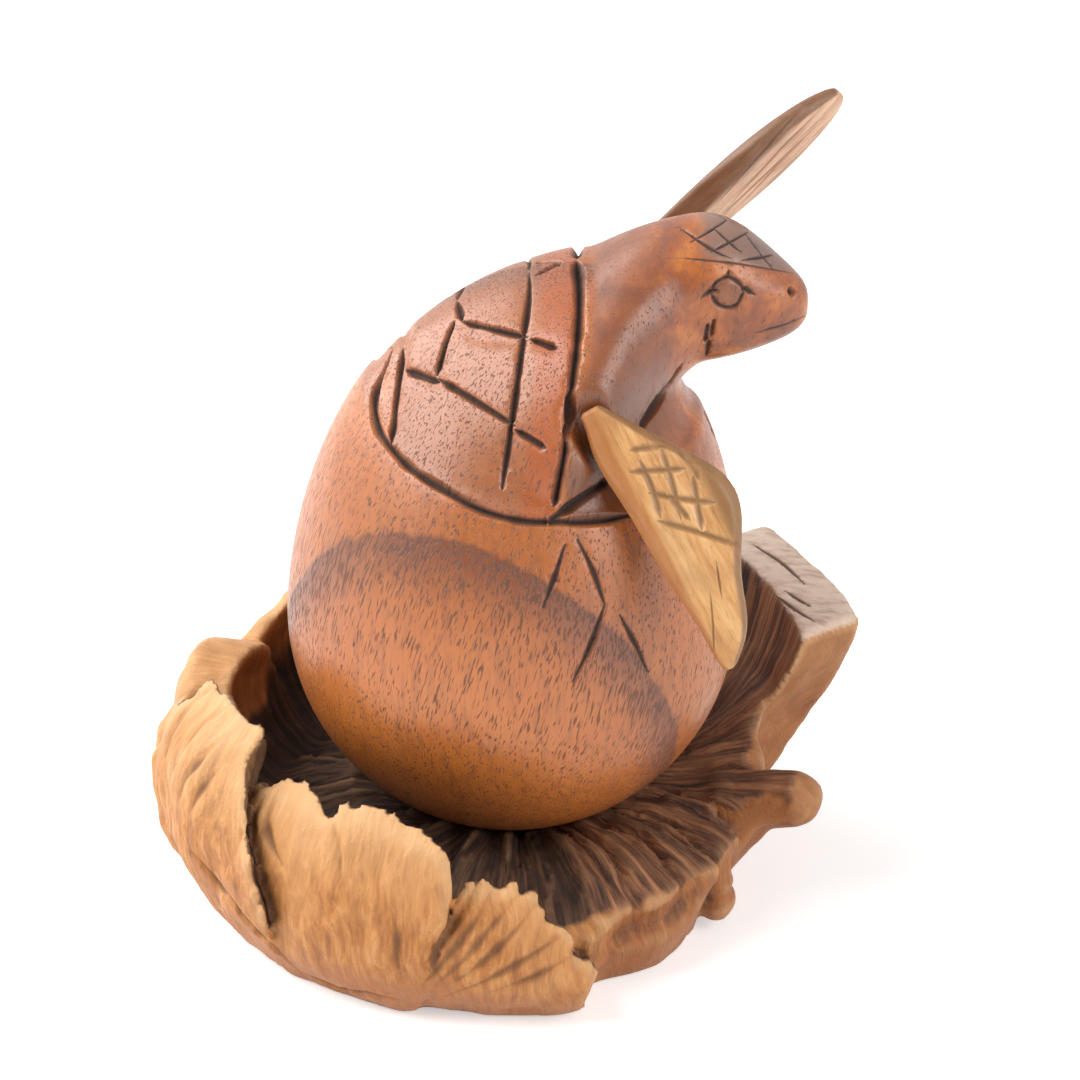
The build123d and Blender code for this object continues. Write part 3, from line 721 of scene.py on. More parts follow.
def arc_through(a, b, c, count):
    """Points on the arc through three points."""
    (ax, ay), (bx, by), (cx, cy) = a, b, c
    d = 2 * (ax * (by - cy) + bx * (cy - ay) + cx * (ay - by))
    if abs(d) < 1e-6:
        return [np.array(a) + (np.array(c) - np.array(a)) * t for t in np.linspace(0, 1, count)]
    aa, bb, cc = ax ** 2 + ay ** 2, bx ** 2 + by ** 2, cx ** 2 + cy ** 2
    ux = (aa * (by - cy) + bb * (cy - ay) + cc * (ay - by)) / d
    uy = (aa * (cx - bx) + bb * (ax - cx) + cc * (bx - ax)) / d
    radius = math.hypot(ax - ux, ay - uy)
    start, middle, end = (math.atan2(y - uy, x - ux) for x, y in (a, b, c))
    turn = (end - start) % (2 * math.pi)
    if (middle - start) % (2 * math.pi) > turn:
        turn -= 2 * math.pi
    return [(ux + radius * math.cos(start + turn * t), uy + radius * math.sin(start + turn * t))
            for t in np.linspace(0, 1, count)]


def polar(turn, r, z):
    """A point given by azimuth, radius and height."""
    return np.array([r * math.cos(math.radians(turn)), r * math.sin(math.radians(turn)), z])


def spindle(a, b, thick_a, thick_b, seed):
    """Field of a knobbly rod between two points."""
    e = b - a
    wx, wy, wz = gx - a[0], gy - a[1], gz - a[2]
    t = np.clip((wx * e[0] + wy * e[1] + wz * e[2]) / (e @ e), 0, 1)
    knob = (thick_a + (thick_b - thick_a) * t) * (1 + 0.12 * noise1(t * 3.0, seed))
    return np.sqrt((wx - t * e[0]) ** 2 + (wy - t * e[1]) ** 2 + (wz - t * e[2]) ** 2) - knob


def valleys(turns, spacing, seed):
    """Rounded ridges with sharp valleys between them."""
    return np.minimum(1.0, 2.6 * np.abs(noise1(turns / spacing, seed))) - 0.6


base = Block(BASE_LOW, BASE_HIGH, BASE_VOXEL)
gx, gy, gz = np.meshgrid(*base.axes(), indexing="ij")
radius = np.hypot(gx, gy)
azimuth = np.degrees(np.arctan2(gy, gx))
cells = np.stack([gx, gy, gz], axis=-1).reshape(-1, 3)
seen_x, seen_y = (v.reshape(base.shape) for v in to_picture(cells))

# slow warping that keeps the turned walls from looking turned
warp = WARP_SIZE * fbm(gx / WARP_LENGTH, gy / WARP_LENGTH, gz / WARP_LENGTH, 5, 2)

# heart: a dish with radiating ridges
ridge_turn = azimuth + 5 * noise1(radius / 9, 21) + 2.5 * noise1(radius / 3.5, 22)
ridges = 2.1 * valleys(ridge_turn, 13.0, 31) + 0.8 * valleys(ridge_turn, 5.0, 32)
ridges = (ridges + 0.25 * noise1(ridge_turn / 1.4, 33)) * step(9, 22, radius)
dish = np.interp(radius, DISH_RADII, DISH_HEIGHTS) + ridges
for turn in CREST_TURNS:
    aside = np.radians((ridge_turn - turn + 180) % 360 - 180) * radius
    crest = np.interp(radius, CREST_RADII, CREST_HEIGHTS) - CREST_SLOPE * np.abs(aside)
    dish = soft_max(dish, crest, 0.8)
heart_side = HEART_RADIUS + HEART_FLARE * np.clip(gz / 11.0, 0, 1.2) + 1.3 * noise1(azimuth / 9, 41)
heart_side = heart_side + 5.0 * np.exp(-((azimuth + 83) / 26) ** 2)
solid = soft_max(gz - dish, radius - heart_side, 1.5)

# fan: the open side, from low roots at the front to a high lobe beside the sawn petal
fan_rows = smooth_path(FAN_RIM, 1.0)
rim_r, rim_z, rim_foot = (np.interp(azimuth, fan_rows[:, 0], fan_rows[:, k]) for k in (1, 2, 3))
run = np.clip((radius - FAN_RADIUS) / (rim_r - FAN_RADIUS), 0.0, 1.3)
fan_top = np.interp(radius, [0, FAN_RADIUS], [DISH_HEIGHTS[0], FAN_HEIGHT])
fan_top = fan_top + (rim_z - FAN_HEIGHT) * run ** 1.6 + ridges * step(1.15, 0.75, run)
fan_side = rim_foot + (rim_r - rim_foot) * np.clip(gz / rim_z, 0.0, 1.2) ** 0.8
fan_side = fan_side + 0.5 * noise1(azimuth / 9.0, 42) + 0.35 * warp
fan = soft_max(gz - fan_top, 0.8 * (radius - fan_side), 2.2)
past_fan = np.radians(np.maximum(FAN_START - azimuth, azimuth - FAN_END)) * radius
solid = soft_min(solid, np.maximum(fan, past_fan), 1.0)

# petals: a turned wall, folded, and trimmed by an outline of the photo or one laid across it
for place, row in enumerate(PETALS):
    turn, width, foot, belly_r, belly_z, tip_r, tip_z, wall, edge, outline, fold, ragged = row
    swing = (azimuth - turn + 180) % 360 - 180
    near = np.abs(swing) < PETAL_SPAN
    outer = arc_through((foot, 0.0), (belly_r, belly_z), (tip_r, tip_z), 20)
    rise = np.array(outer[-1]) - np.array(outer[-2])
    over = np.array(outer[-1]) + rise / np.linalg.norm(rise) * (6.0 if outline is None else 2.0)
    inner_over = (over[0] - edge, over[1])
    inner = arc_through(inner_over, (belly_r - wall, belly_z + wall / 2), (FLOOR_RADIUS, FLOOR_HEIGHT), 16)
    profile = outer + [tuple(over)] + inner + [(FLOOR_RADIUS, 0.0)]
    wall_field = Lookup(profile, (0.0, -4.0), (62.0, 46.0), PROFILE_CELL)
    x, y, z = gx[near], gy[near], gz[near]
    r, across = radius[near], radius[near] * np.sin(np.radians(swing[near]))
    fan_out = across / (z + 16.0) * 20.0
    rough = noise3(x / 5, y / 5, z / 5, 70 + place)
    folds = 1.3 * noise1(fan_out / 4.4 + 0.25 * rough, 100 + place)
    folds += 0.55 * noise1(fan_out / 1.9 + 0.3 * rough, 200 + place)
    folds += 0.22 * noise1(fan_out / 0.8, 300 + place)
    folds *= fold * step(1.0, 14.0, z)
    body = wall_field.read(r - folds - 0.8 * warp[near], z)
    if outline is None:
        shape = Lookup(PETAL_EDGES[turn], (80, 640), (800, 1090), PICTURE_CELL)
        teeth = 0.35 * noise1(fan_out / 0.7, 400 + place)
        limit = shape.read(seen_x[near], seen_y[near]) / PIXELS_PER_MM + teeth
        limit = np.where(y < 14.0, limit, 5.0)
    else:
        path = smooth_path([(u * width, v * tip_z) for u, v in outline], 0.8)
        count = np.arange(len(path))
        jag = 1.1 * noise1(count * 0.45, 500 + place) + 0.6 * noise1(count * 1.1, 600 + place)
        away = path - np.array([0.0, 0.4 * tip_z])
        away /= np.linalg.norm(away, axis=1, keepdims=True)
        path = path + away * (ragged * jag * step(0.3 * tip_z, 0.7 * tip_z, path[:, 1]))[:, None]
        closed = np.vstack([path, [(path[-1][0], -8.0), (path[0][0], -8.0)]])
        limit = Lookup(closed, (-40, -10), (40, 46), PROFILE_CELL).read(across, z)
    petal = soft_max(body, limit, 1.0)
    solid[near] = soft_min(solid[near], petal, 0.9)

# roots of the fan and small growths
for place, (turn, inner_r, outer_r, inner_z, outer_z, thick) in enumerate(ROOTS):
    start, end = polar(turn, inner_r, inner_z), polar(turn, outer_r, outer_z)
    rod = spindle(start, end, 0.55 * thick, thick, 700 + place)
    solid = soft_min(solid, rod, 2.4)
for place, (low_end, high_end, thick) in enumerate(GROWTHS):
    rod = spindle(polar(*low_end), polar(*high_end), thick, 0.7 * thick, 720 + place)
    solid = soft_min(solid, rod, 1.0)

# surface lumps and fibres near the skin only
skin = np.abs(solid) < 2.5
x, y, z = gx[skin], gy[skin], gz[skin]
bent = azimuth[skin] + 4 * noise3(x / 8, y / 8, z / 8, 51)
flat_top = step(28.0, 31.0, z) * step(20.0, 26.0, x)
solid[skin] += 0.3 * (1 - 0.85 * flat_top) * fbm(x / 3.2, y / 3.2, z / 3.2, 61, 2)
inward = step(2.0, -3.0, radius[skin] - 32.0) * step(4.0, 9.0, z)
solid[skin] += inward * (0.5 * noise1(bent / 2.6, 81) + 0.3 * noise1(bent / 1.2, 82))

# nest for the egg, bore for the dowel, flat underside
egg_field = np.sqrt(gx ** 2 + gy ** 2 + (gz - EGG_CENTRE[2]) ** 2) - EGG_RADIUS
solid = np.maximum(solid, NEST_GAP - egg_field)
solid = np.maximum(solid, np.minimum(BORE_RADIUS - radius, gz - BORE_FLOOR))
base.field = np.maximum(solid, -gz).astype(np.float32)

# creases between the flutes, under the belly and in the sawn slab
base_tree = tree_of(*base.skin())
base_cuts = Cuts()
base_strokes = [(FLUTE_CUTS, 1.15, 0.6, 0.45), (BELLY_CUTS, 0.9, 0.6, 0.3), (SLAB_CUTS, 0.5, 0.5, 0.3)]
carve(base_cuts, base_tree, base_strokes, 0.25)

base_hollows = base.hollows(3.0)
tight_hollows = base.hollows(1.3)
base_points, base_faces, base_share = cut_surface(base, base_cuts, (1.2,))
base_normals = base.slope(base_points)
base_x, base_y, base_z = base_points.T
base_radius = np.hypot(base_x, base_y)
base_turn = np.degrees(np.arctan2(base_y, base_x))
outward = (base_normals[:, :2] * base_points[:, :2]).sum(1) / np.maximum(base_radius, 1.0)
facing_up = base_normals[:, 2]
inner_side = step(0.15, -0.35, outward - 0.25 * facing_up)
dish_side = step(0.2, 0.5, facing_up) * step(37.0, 33.0, base_radius) * step(20.0, 16.0, base_z)
rim_here = np.interp(base_turn, fan_rows[:, 0], fan_rows[:, 1])
in_fan = step(FAN_START - 4, FAN_START, base_turn) * step(FAN_END + 4, FAN_END, base_turn)
fan_face = in_fan * step(0.1, 0.4, facing_up) * step(-0.4, -2.6, base_radius - rim_here)
inside = np.clip(np.maximum.reduce([inner_side, dish_side, fan_face]), 0, 1)
lobe = step(154, 158, base_turn) * step(18.0, 22.0, base_z)
back_top = step(95, 110, base_turn) * step(18.0, 29.0, base_z)
inside = inside * (1 - lobe) * (1 - 0.7 * back_top)
sawn = step(0.55, 0.8, facing_up) * step(30.0, 33.0, base_z) * step(20.0, 26.0, base_x)
base_piece = piece(
    "natural_base", base_points, base_faces, "wood_base",
    {
        "inside": inside,
        "hollow": base.read(base_hollows, base_points),
        "crease": base.read(tight_hollows, base_points),
        "sawn": sawn,
        "fan": step(-76.0, -64.0, base_turn) * in_fan * (1 - sawn),
        "cut": base_share,
    },
)

# Materials: woods made of noise along the grain, tinted by the attributes of the pieces, several of them as
# painted shade, painted highlights and a painted sheen

class Nodes:
    """A node tree written as a chain of short calls."""

    def __init__(self, name):
        self.material = bpy.data.materials.new(name)
        self.material.use_nodes = True
        self.tree = self.material.node_tree
        self.shader = self.tree.nodes["Principled BSDF"]

    def fill(self, node, inputs):
        """Link sockets to a node's inputs, and set constants on the inputs themselves."""
        for key, value in inputs.items():
            if isinstance(value, bpy.types.NodeSocket):
                self.tree.links.new(value, node.inputs[key])
            else:
                node.inputs[key].default_value = value

    def add(self, kind, inputs, **settings):
        """The outputs of a new node."""
        node = self.tree.nodes.new(kind)
        for key, value in settings.items():
            setattr(node, key, value)
        self.fill(node, inputs)
        return node.outputs

    def math(self, kind, *values):
        return self.add("ShaderNodeMath", dict(enumerate(values)), operation=kind)[0]

    def vector(self, kind, *values):
        outputs = self.add("ShaderNodeVectorMath", dict(enumerate(values)), operation=kind)
        return outputs["Value" if kind in ("DOT_PRODUCT", "LENGTH") else "Vector"]

    def stretch(self, where, *scale):
        return self.vector("MULTIPLY", where, scale)

    def combine(self, *values):
        return self.add("ShaderNodeCombineXYZ", dict(enumerate(values)))[0]

    def split(self, vector):
        return self.add("ShaderNodeSeparateXYZ", {0: vector})

    def attribute(self, name, output="Fac"):
        return self.add("ShaderNodeAttribute", {}, attribute_name=name)[output]

    def place(self):
        """Place on the object in millimetres."""
        return self.stretch(self.add("ShaderNodeTexCoord", {})["Object"], 1 / MM, 1 / MM, 1 / MM)

    def noise(self, where, scale, detail=2.0, rough=0.5, distort=0.0):
        inputs = {"Vector": where, "Scale": scale, "Detail": detail, "Roughness": rough}
        return self.add("ShaderNodeTexNoise", {**inputs, "Distortion": distort})["Fac"]

    def sway(self, noise, size):
        """Noise as a swing of this size to both sides of 0."""
        return self.math("MULTIPLY", self.math("SUBTRACT", noise, 0.5), size)

    def ramp(self, value, stops):
        node = self.tree.nodes.new("ShaderNodeValToRGB")
        points = node.color_ramp.elements
        while len(points) < len(stops):
            points.new(0.5)
        for point, (at, colour) in zip(points, stops):
            point.position = at
            point.color = (*colour, 1.0)
        self.fill(node, {"Fac": value})
        return node.outputs["Color"]

    def between(self, value, low, high):
        """Value carried from low..high to 0..1 and clipped."""
        inputs = {"Value": value, "From Min": low, "From Max": high}
        return self.add("ShaderNodeMapRange", inputs, interpolation_type="SMOOTHSTEP")["Result"]

    def mix(self, share, a, b, kind="MIX"):
        a, b = (c if isinstance(c, bpy.types.NodeSocket) else (*c, 1.0) for c in (a, b))
        inputs = {"Factor": share, "A": a, "B": b}
        return self.add("ShaderNodeMix", inputs, data_type="RGBA", blend_type=kind)["Result"]

    def tint(self, tone, mask, share, colour):
        """A tone shifted towards a colour where the mask is on."""
        return self.mix(self.math("MULTIPLY", mask, share), tone, colour)

    def seen_rays(self):
        """Rays that show the white surroundings, straight or in gloss or glass; and camera rays alone."""
        rays = self.add("ShaderNodeLightPath", {})
        shiny = self.math("MAXIMUM", rays["Is Glossy Ray"], rays["Is Transmission Ray"])
        return self.math("MAXIMUM", rays["Is Camera Ray"], shiny), rays["Is Camera Ray"]

    def finish(self, colour, rough, height, strength, distance, specular=0.5):
        bump = self.add("ShaderNodeBump", {"Strength": strength, "Distance": distance, "Height": height})
        self.fill(self.shader, {
            "Base Color": colour, "Roughness": rough,
            "Normal": bump["Normal"], "Specular IOR Level": specular,
        })
        return self.material


LAYER_FACING = (-0.312, -0.822, -0.477)
LAYER_PLACE, LAYER_THICKNESS = 13.6, 40.0


def carved_wood():
    """Oiled red-brown hardwood: one dark growth layer across the egg, pores along its height."""
    n = Nodes("carved_wood")
    where = n.place()
    head = n.attribute("head_part")
    # growth layers as planes across the egg, bent by slow noise
    bend = n.sway(n.noise(where, 0.03, 1.0), 5.0)
    waver = n.sway(n.noise(n.stretch(where, 1.0, 1.0, 0.25), 0.5, 3.0), 1.6)
    toward = n.vector("DOT_PRODUCT", n.vector("SUBTRACT", where, tuple(EGG_CENTRE)), LAYER_FACING)
    layer = n.math("ADD", n.math("ADD", toward, bend), waver)
    saw = n.math("FRACT", n.math("DIVIDE", n.math("SUBTRACT", layer, LAYER_PLACE), LAYER_THICKNESS))
    tone = n.ramp(saw, [
        (0.0, (0.18, 0.050, 0.016)), (0.05, (0.24, 0.066, 0.018)), (0.15, (0.43, 0.122, 0.023)),
        (0.32, (0.54, 0.155, 0.026)), (0.62, (0.46, 0.132, 0.024)), (0.988, (0.40, 0.116, 0.024)),
        (1.0, (0.18, 0.050, 0.016)),
    ])
    # long streaks and slow mottling
    grain = n.stretch(where, 1.0, 1.0, 0.12)
    streak = n.noise(n.vector("ADD", grain, (3.0, 7.0, 1.0)), 1.1, 4.0, 0.6, 0.4)
    mottle = n.noise(where, 0.09, 3.0, 0.55)
    patchy = n.ramp(n.noise(n.vector("ADD", where, (5.0, 2.0, 9.0)), 0.16, 4.0, 0.62, 0.6), [
        (0.36, (0.19, 0.044, 0.008)), (0.50, (0.34, 0.080, 0.011)), (0.66, (0.50, 0.150, 0.020)),
    ])
    tone = n.mix(head, tone, patchy)
    tone = n.tint(tone, n.between(streak, 0.42, 0.70), 0.45, (0.18, 0.055, 0.018))
    tone = n.tint(tone, n.between(mottle, 0.45, 0.75), 0.28, (0.52, 0.180, 0.046))
    tone = n.tint(tone, n.attribute("shell_part"), 0.55, (0.26, 0.085, 0.034))
    tone = n.tint(tone, n.attribute("strip"), 0.75, (0.38, 0.080, 0.010))
    # painted shade: the neck darker next to the shell's rim
    tone = n.tint(tone, n.attribute("neck_shade"), 0.6, (0.17, 0.042, 0.010))
    # painted shade: the shoulder darker around the flipper's root
    tone = n.tint(tone, n.attribute("shoulder_shade"), 0.85, (0.15, 0.044, 0.014))
    # pores: short dashes along a leaning grain
    leaning = {"Vector": where, "Rotation": (0.0, 0.26, 0.0), "Scale": (0.22, 0.22, 1.9)}
    dashes = n.add("ShaderNodeMapping", leaning, vector_type="TEXTURE")["Vector"]
    pores = n.noise(dashes, 0.9, 1.0, 0.4)
    early = n.math("MULTIPLY", n.between(saw, 0.24, 0.0), n.math("SUBTRACT", 1.0, head))
    more, fewer = n.math("MULTIPLY", early, 0.10), n.math("MULTIPLY", head, 0.06)
    pore = n.between(n.math("SUBTRACT", n.math("ADD", pores, more), fewer), 0.58, 0.67)
    tone = n.tint(tone, pore, 0.75, (0.075, 0.022, 0.009))
    # painted sheen: the scalp greyer where it faces up; painted shade: cuts and hollows darker; ridges
    # paler
    tone = n.tint(tone, n.attribute("scalp_sheen"), 0.8, (0.19, 0.118, 0.095))
    hollow = n.attribute("hollow")
    # painted shade: darker in the hollows
    tone = n.tint(tone, n.between(hollow, 0.08, 0.5), 0.6, (0.05, 0.018, 0.009))
    tone = n.tint(tone, n.between(hollow, -0.06, -0.35), 0.18, (0.54, 0.19, 0.055))
    tone = n.tint(tone, n.attribute("eye"), 0.6, (0.13, 0.045, 0.014))
    cut = n.attribute("cut")
    # painted shade in the cuts, darkest towards their middle
    tone = n.tint(tone, n.between(cut, 0.05, 0.4), 0.55, (0.10, 0.034, 0.014))
    tone = n.tint(tone, n.between(cut, 0.3, 0.8), 0.9, (0.028, 0.012, 0.008))
    # dull in pores and cuts
    rough = n.math("MULTIPLY_ADD", n.noise(where, 0.5, 3.0), 0.16, n.math("MULTIPLY_ADD", pore, 0.3, 0.27))
    rough = n.math("MULTIPLY_ADD", cut, 0.5, rough)
    tool = n.noise(n.stretch(where, 1.0, 1.0, 0.6), 0.22, 2.0)
    height = n.math("SUBTRACT", n.math("MULTIPLY", tool, 1.3), n.math("MULTIPLY", pore, 0.6))
    height = n.math("ADD", height, n.math("MULTIPLY", streak, 0.2))
    return n.finish(tone, rough, height, strength=0.35, distance=0.0004, specular=0.75)


def base_wood():
    """Natural growth: golden and swirling outside, reddish belly, near-black fibres inside; painted
    highlights towards the petals' upper edges and on crests, painted shade in hollows, creases and cuts.
    """
    n = Nodes("base_wood")
    where = n.place()
    z = n.split(where)["Z"]
    level = n.vector("LENGTH", n.stretch(where, 1.0, 1.0, 0.0))
    unit = n.vector("DIVIDE", n.stretch(where, 1.0, 1.0, 0.0), n.combine(level, level, level))
    swirl = n.sway(n.noise(where, 0.06, 2.0), 14.0)
    ring = n.stretch(unit, 40.0, 40.0, 0.0)
    around = n.vector("ADD", ring, n.combine(n.math("MULTIPLY", swirl, 0.6), n.math("MULTIPLY", swirl, 0.5),
                                             n.math("MULTIPLY", z, 0.16)))
    fibre = n.noise(around, 0.85, 5.0, 0.62, 0.3)
    fine = n.noise(around, 3.2, 3.0, 0.6, 0.2)
    curl = n.noise(where, 1.3, 4.0, 0.65, 1.2)
    blotch = n.noise(where, 0.055, 3.0, 0.6)
    tan = n.ramp(fibre, [
        (0.25, (0.25, 0.080, 0.018)), (0.42, (0.42, 0.155, 0.038)), (0.56, (0.56, 0.230, 0.062)),
        (0.75, (0.68, 0.36, 0.145)),
    ])
    tan = n.tint(tan, n.between(fine, 0.5, 0.72), 0.4, (0.27, 0.10, 0.028))
    tan = n.tint(tan, n.between(curl, 0.54, 0.72), 0.35, (0.30, 0.115, 0.033))
    tan = n.tint(tan, n.between(blotch, 0.45, 0.7), 0.40, (0.64, 0.32, 0.125))
    tan = n.tint(tan, n.between(blotch, 0.42, 0.25), 0.45, (0.36, 0.14, 0.044))
    # petals lighter towards their upper edges, a painted highlight; the root side browner
    tan = n.tint(tan, n.between(z, 17.0, 30.0), 0.32, (0.78, 0.48, 0.22))
    fan = n.attribute("fan")
    tan = n.mix(n.math("MULTIPLY", fan, 0.85), tan, (0.56, 0.42, 0.34), "MULTIPLY")
    # the lower outside is smooth and redder
    belly = n.between(n.math("ADD", z, n.sway(blotch, 16.0)), 10.0, 4.0)
    tan = n.tint(tan, belly, 0.6, (0.40, 0.150, 0.055))
    # fibres of the inside run out from the middle
    outward = n.math("MULTIPLY", level, 0.09)
    aside, ahead = n.math("MULTIPLY", swirl, 0.12), n.math("MULTIPLY", swirl, 0.1)
    spoke = n.vector("ADD", ring, n.combine(aside, ahead, outward))
    strand = n.noise(spoke, 0.7, 5.0, 0.68, 0.2)
    hair = n.noise(spoke, 2.6, 4.0, 0.65, 0.1)
    dark = n.ramp(strand, [
        (0.34, (0.020, 0.009, 0.006)), (0.47, (0.085, 0.036, 0.018)), (0.58, (0.23, 0.105, 0.050)),
        (0.76, (0.42, 0.22, 0.11)),
    ])
    dark = n.tint(dark, n.between(hair, 0.52, 0.70), 0.55, (0.20, 0.098, 0.048))
    dark = n.mix(n.math("SUBTRACT", 1.0, fan), dark, (0.42, 0.40, 0.40), "MULTIPLY")
    dark = n.mix(fan, dark, (1.35, 1.25, 1.2), "MULTIPLY")
    hollow = n.attribute("hollow")
    crease = n.attribute("crease")
    inside = n.attribute("inside")
    # painted shade: the inside near black in hollows
    dark = n.tint(dark, n.between(hollow, 0.05, 0.5), 0.7, (0.012, 0.006, 0.005))
    # painted highlight on crests, painted shade in creases
    dark = n.tint(dark, n.between(crease, -0.05, -0.4), 0.5, (0.34, 0.175, 0.082))
    tan = n.tint(tan, n.between(crease, 0.03, 0.35), 0.75, (0.10, 0.038, 0.015))
    tan = n.tint(tan, n.between(crease, -0.08, -0.45), 0.4, (0.76, 0.47, 0.23))
    # painted shade in the flute and belly cuts
    tan = n.tint(tan, n.between(n.attribute("cut"), 0.5, 1.0), 0.16, (0.26, 0.10, 0.032))
    ragged = n.math("ADD", inside, n.sway(n.noise(where, 0.3, 3.0), 0.5))
    tone = n.mix(n.between(ragged, 0.15, 0.8), tan, dark)
    slab = n.ramp(n.noise(n.stretch(where, 0.35, 1.0, 1.0), 0.8, 4.0, 0.6), [
        (0.3, (0.52, 0.36, 0.27)), (0.5, (0.74, 0.565, 0.455)), (0.75, (0.82, 0.67, 0.56)),
    ])
    # painted shade in the slab's cuts
    slab = n.mix(n.between(n.attribute("cut"), 0.1, 0.7), slab, (0.14, 0.08, 0.05))
    tone = n.mix(n.math("MULTIPLY", n.attribute("sawn"), 0.92), tone, slab)
    rough = n.math("ADD", n.math("MULTIPLY", inside, 0.18), n.math("MULTIPLY_ADD", fine, 0.2, 0.42))
    fibres = n.math("MULTIPLY", n.math("MULTIPLY_ADD", hair, 0.5, strand), n.math("MULTIPLY", inside, 2.2))
    height = n.math("ADD", fibres, n.math("ADD", fibre, n.math("MULTIPLY", n.math("ADD", fine, curl), 0.4)))
    return n.finish(tone, rough, height, strength=0.55, distance=0.0007, specular=0.4)


def blade_wood(name, ramp_stops, low_edge_painted_light, high_edge_painted_light, painted_cut_shade):
    """Flipper wood: lengthwise streaks, a dark and a bright edge painted as shade and light by where they
    lie and which way they face, and painted shade in the hatch.
    """
    n = Nodes(name)
    leaf = n.attribute("leaf", "Vector")
    across = n.split(leaf)["Y"]
    tilt = n.attribute("tilt")
    streak = n.noise(n.stretch(leaf, 0.09, 1.0, 1.0), 1.0, 5.0, 0.6, 0.3)
    tone = n.ramp(streak, ramp_stops)
    fine = n.noise(n.stretch(leaf, 0.2, 1.0, 1.0), 4.0, 3.0, 0.6)
    tone = n.tint(tone, n.between(fine, 0.52, 0.75), 0.4, (0.22, 0.09, 0.03))
    patch = n.noise(leaf, 0.16, 3.0)
    tone = n.tint(tone, n.between(patch, 0.45, 0.75), 0.35, (0.30, 0.13, 0.045))
    # painted light and shade on the two edges, by where they lie and which way they face
    low = n.math("MAXIMUM", n.between(across, *low_edge_painted_light[0]), n.between(tilt, -0.15, -0.55))
    high = n.math("MAXIMUM", n.between(across, *high_edge_painted_light[0]), n.between(tilt, 0.15, 0.55))
    tone = n.tint(tone, low, 0.8, low_edge_painted_light[1])
    tone = n.tint(tone, high, 0.8, high_edge_painted_light[1])
    # painted shade in the hatch cuts
    tone = n.tint(tone, n.between(n.attribute("cut"), 0.15, 0.85), 0.75, painted_cut_shade)
    # painted shade: darker in the hollows
    tone = n.tint(tone, n.between(n.attribute("hollow"), 0.1, 0.5), 0.5, (0.08, 0.03, 0.012))
    rough = n.math("MULTIPLY_ADD", fine, 0.2, 0.34)
    height = n.math("ADD", streak, n.math("MULTIPLY", fine, 0.4))
    return n.finish(tone, rough, height, strength=0.35, distance=0.0003)


def plain_wood(name, low, high):
    """Turned dowel wood with lengthwise streaks."""
    n = Nodes(name)
    where = n.place()
    streak = n.noise(n.stretch(where, 1.0, 0.15, 0.3), 1.4, 4.0, 0.6)
    tone = n.ramp(streak, [(0.35, low), (0.65, high)])
    return n.finish(tone, n.math("MULTIPLY_ADD", streak, 0.2, 0.4), streak, strength=0.3, distance=0.0002)


turtle_piece.data.materials.append(carved_wood())
base_piece.data.materials.append(base_wood())
# colours: streaks, then the edges' painted light and shade, then the hatch's painted shade
right_blade.data.materials.append(blade_wood(
    "pale_wood",
    [(0.3, (0.40, 0.18, 0.062)), (0.5, (0.62, 0.32, 0.12)), (0.72, (0.74, 0.45, 0.205))],
    ((-3.0, -5.0), (0.36, 0.122, 0.030)), ((3.4, 5.2), (0.19, 0.085, 0.028)), (0.27, 0.135, 0.046),
))
# colours: streaks, then the edges' painted light and shade, then the hatch's painted shade
left_blade.data.materials.append(blade_wood(
    "brown_wood",
    [(0.3, (0.34, 0.16, 0.08)), (0.5, (0.60, 0.34, 0.195)), (0.72, (0.76, 0.50, 0.32))],
    ((-2.6, -4.6), (0.12, 0.036, 0.009)), ((4.0, 6.0), (0.34, 0.16, 0.07)), (0.16, 0.07, 0.03),
))
dowel_wood = plain_wood("dowel_wood", (0.40, 0.22, 0.09), (0.62, 0.40, 0.2))
for node in ("right_flipper_pin", "left_flipper_pin", "base_dowel"):
    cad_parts[node].data.materials.clear()
    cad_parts[node].data.materials.append(dowel_wood)

# Studio: pale floor, large soft lights, white surroundings

WHITE = (1.0, 1.0, 1.0, 1.0)
FLOOR_REACH = 4.0
FLOOR_TONE = (0.86, 0.86, 0.86, 1.0)
FLOOR_GLOW = 0.45
ROOM_LIGHT = 0.42
FRONT_LIGHT = 0.3
FRONT_FADE = (-0.9, -0.2)
LIGHT_AIM = (0.0, 0.0, 0.05)

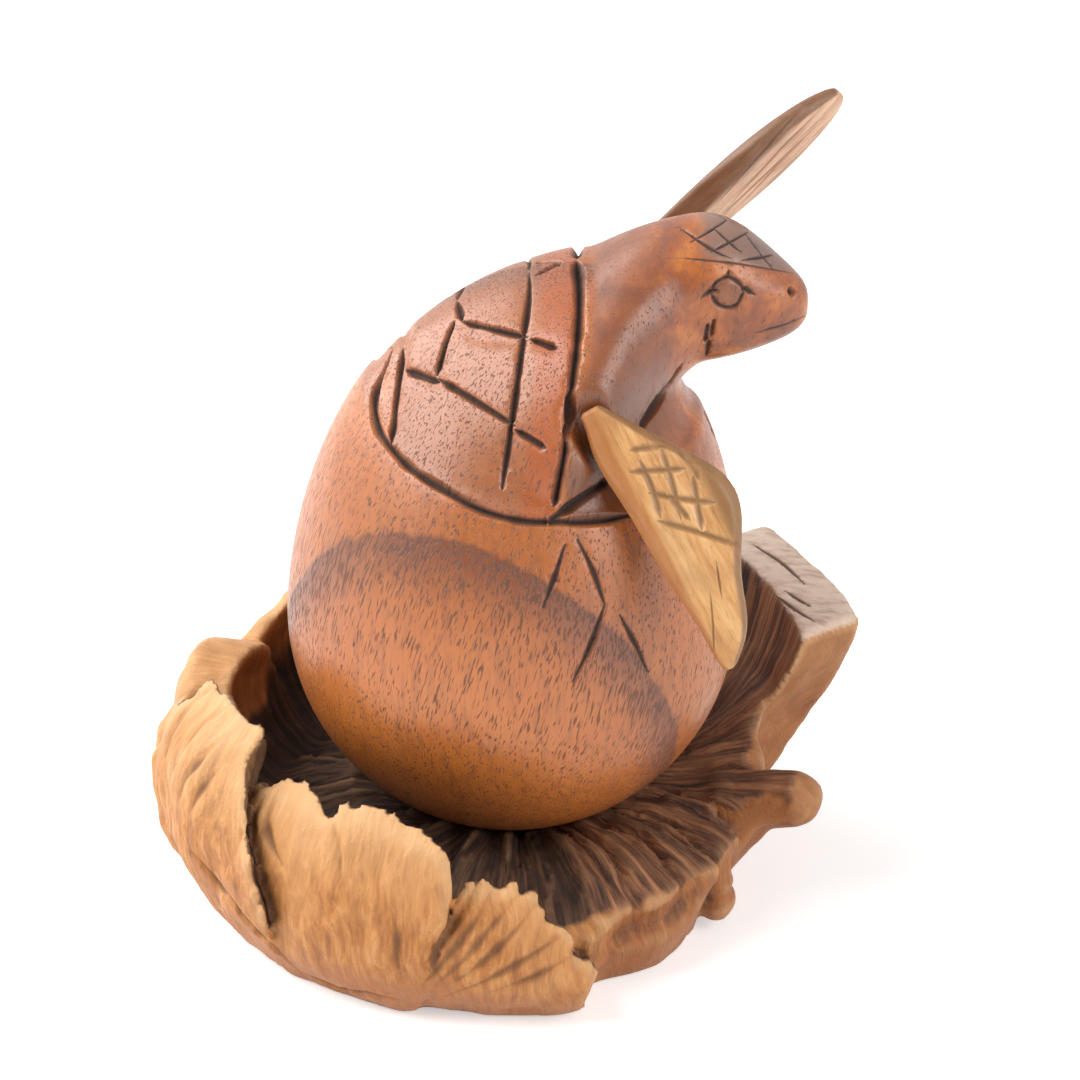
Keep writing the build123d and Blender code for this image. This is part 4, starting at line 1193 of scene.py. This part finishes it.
floor_mesh = bpy.data.meshes.new("floor")
floor_corners = [(FLOOR_REACH * u, FLOOR_REACH * v, 0.0) for u, v in ((-1, -1), (1, -1), (1, 1), (-1, 1))]
floor_mesh.from_pydata(floor_corners, [], [(0, 1, 2, 3)])
floor = bpy.data.objects.new("floor", floor_mesh)
bpy.context.scene.collection.objects.link(floor)
floor_nodes = Nodes("floor")
seen, _ = floor_nodes.seen_rays()
floor_nodes.fill(floor_nodes.shader, {
    "Base Color": FLOOR_TONE, "Roughness": 0.9, "Specular IOR Level": 0.1,
    "Emission Color": WHITE, "Emission Strength": floor_nodes.math("MULTIPLY", seen, FLOOR_GLOW),
})
floor_mesh.materials.append(floor_nodes.material)


class RoomNodes(Nodes):
    """The same short calls for the surroundings."""

    def __init__(self, name):
        world = bpy.data.worlds.new(name)
        bpy.context.scene.world = world
        world.use_nodes = True
        self.tree = world.node_tree
        self.shader = self.tree.nodes["Background"]


# white where it is seen, and darker towards the front of the room for all but camera rays
room = RoomNodes("studio")
seen, by_camera = room.seen_rays()
level = room.math("MULTIPLY_ADD", seen, 1.0 - ROOM_LIGHT, ROOM_LIGHT)
direction = room.split(room.add("ShaderNodeTexCoord", {})["Generated"])
fade = room.between(direction["Y"], *FRONT_FADE)
front = room.math("MULTIPLY_ADD", fade, 1.0 - FRONT_LIGHT, FRONT_LIGHT)
lit = room.math("MAXIMUM", front, by_camera)
room.fill(room.shader, {"Color": WHITE, "Strength": room.math("MULTIPLY", level, lit)})


def soft_light(name, place, size, power):
    """A large square light that faces the object."""
    data = bpy.data.lights.new(name, "AREA")
    data.shape = "SQUARE"
    data.size = size
    data.energy = power
    light = bpy.data.objects.new(name, data)
    light.location = place
    light.rotation_euler = (Vector(LIGHT_AIM) - Vector(place)).to_track_quat("-Z", "Y").to_euler()
    bpy.context.scene.collection.objects.link(light)


soft_light("key", (-0.62, -0.14, 0.64), size=0.75, power=9.0)
soft_light("fill", (0.72, -0.50, 0.42), size=0.7, power=6.2)
soft_light("back", (-0.66, 0.52, 0.50), size=0.6, power=4.6)

bpy.context.scene.view_settings.view_transform = "Standard"
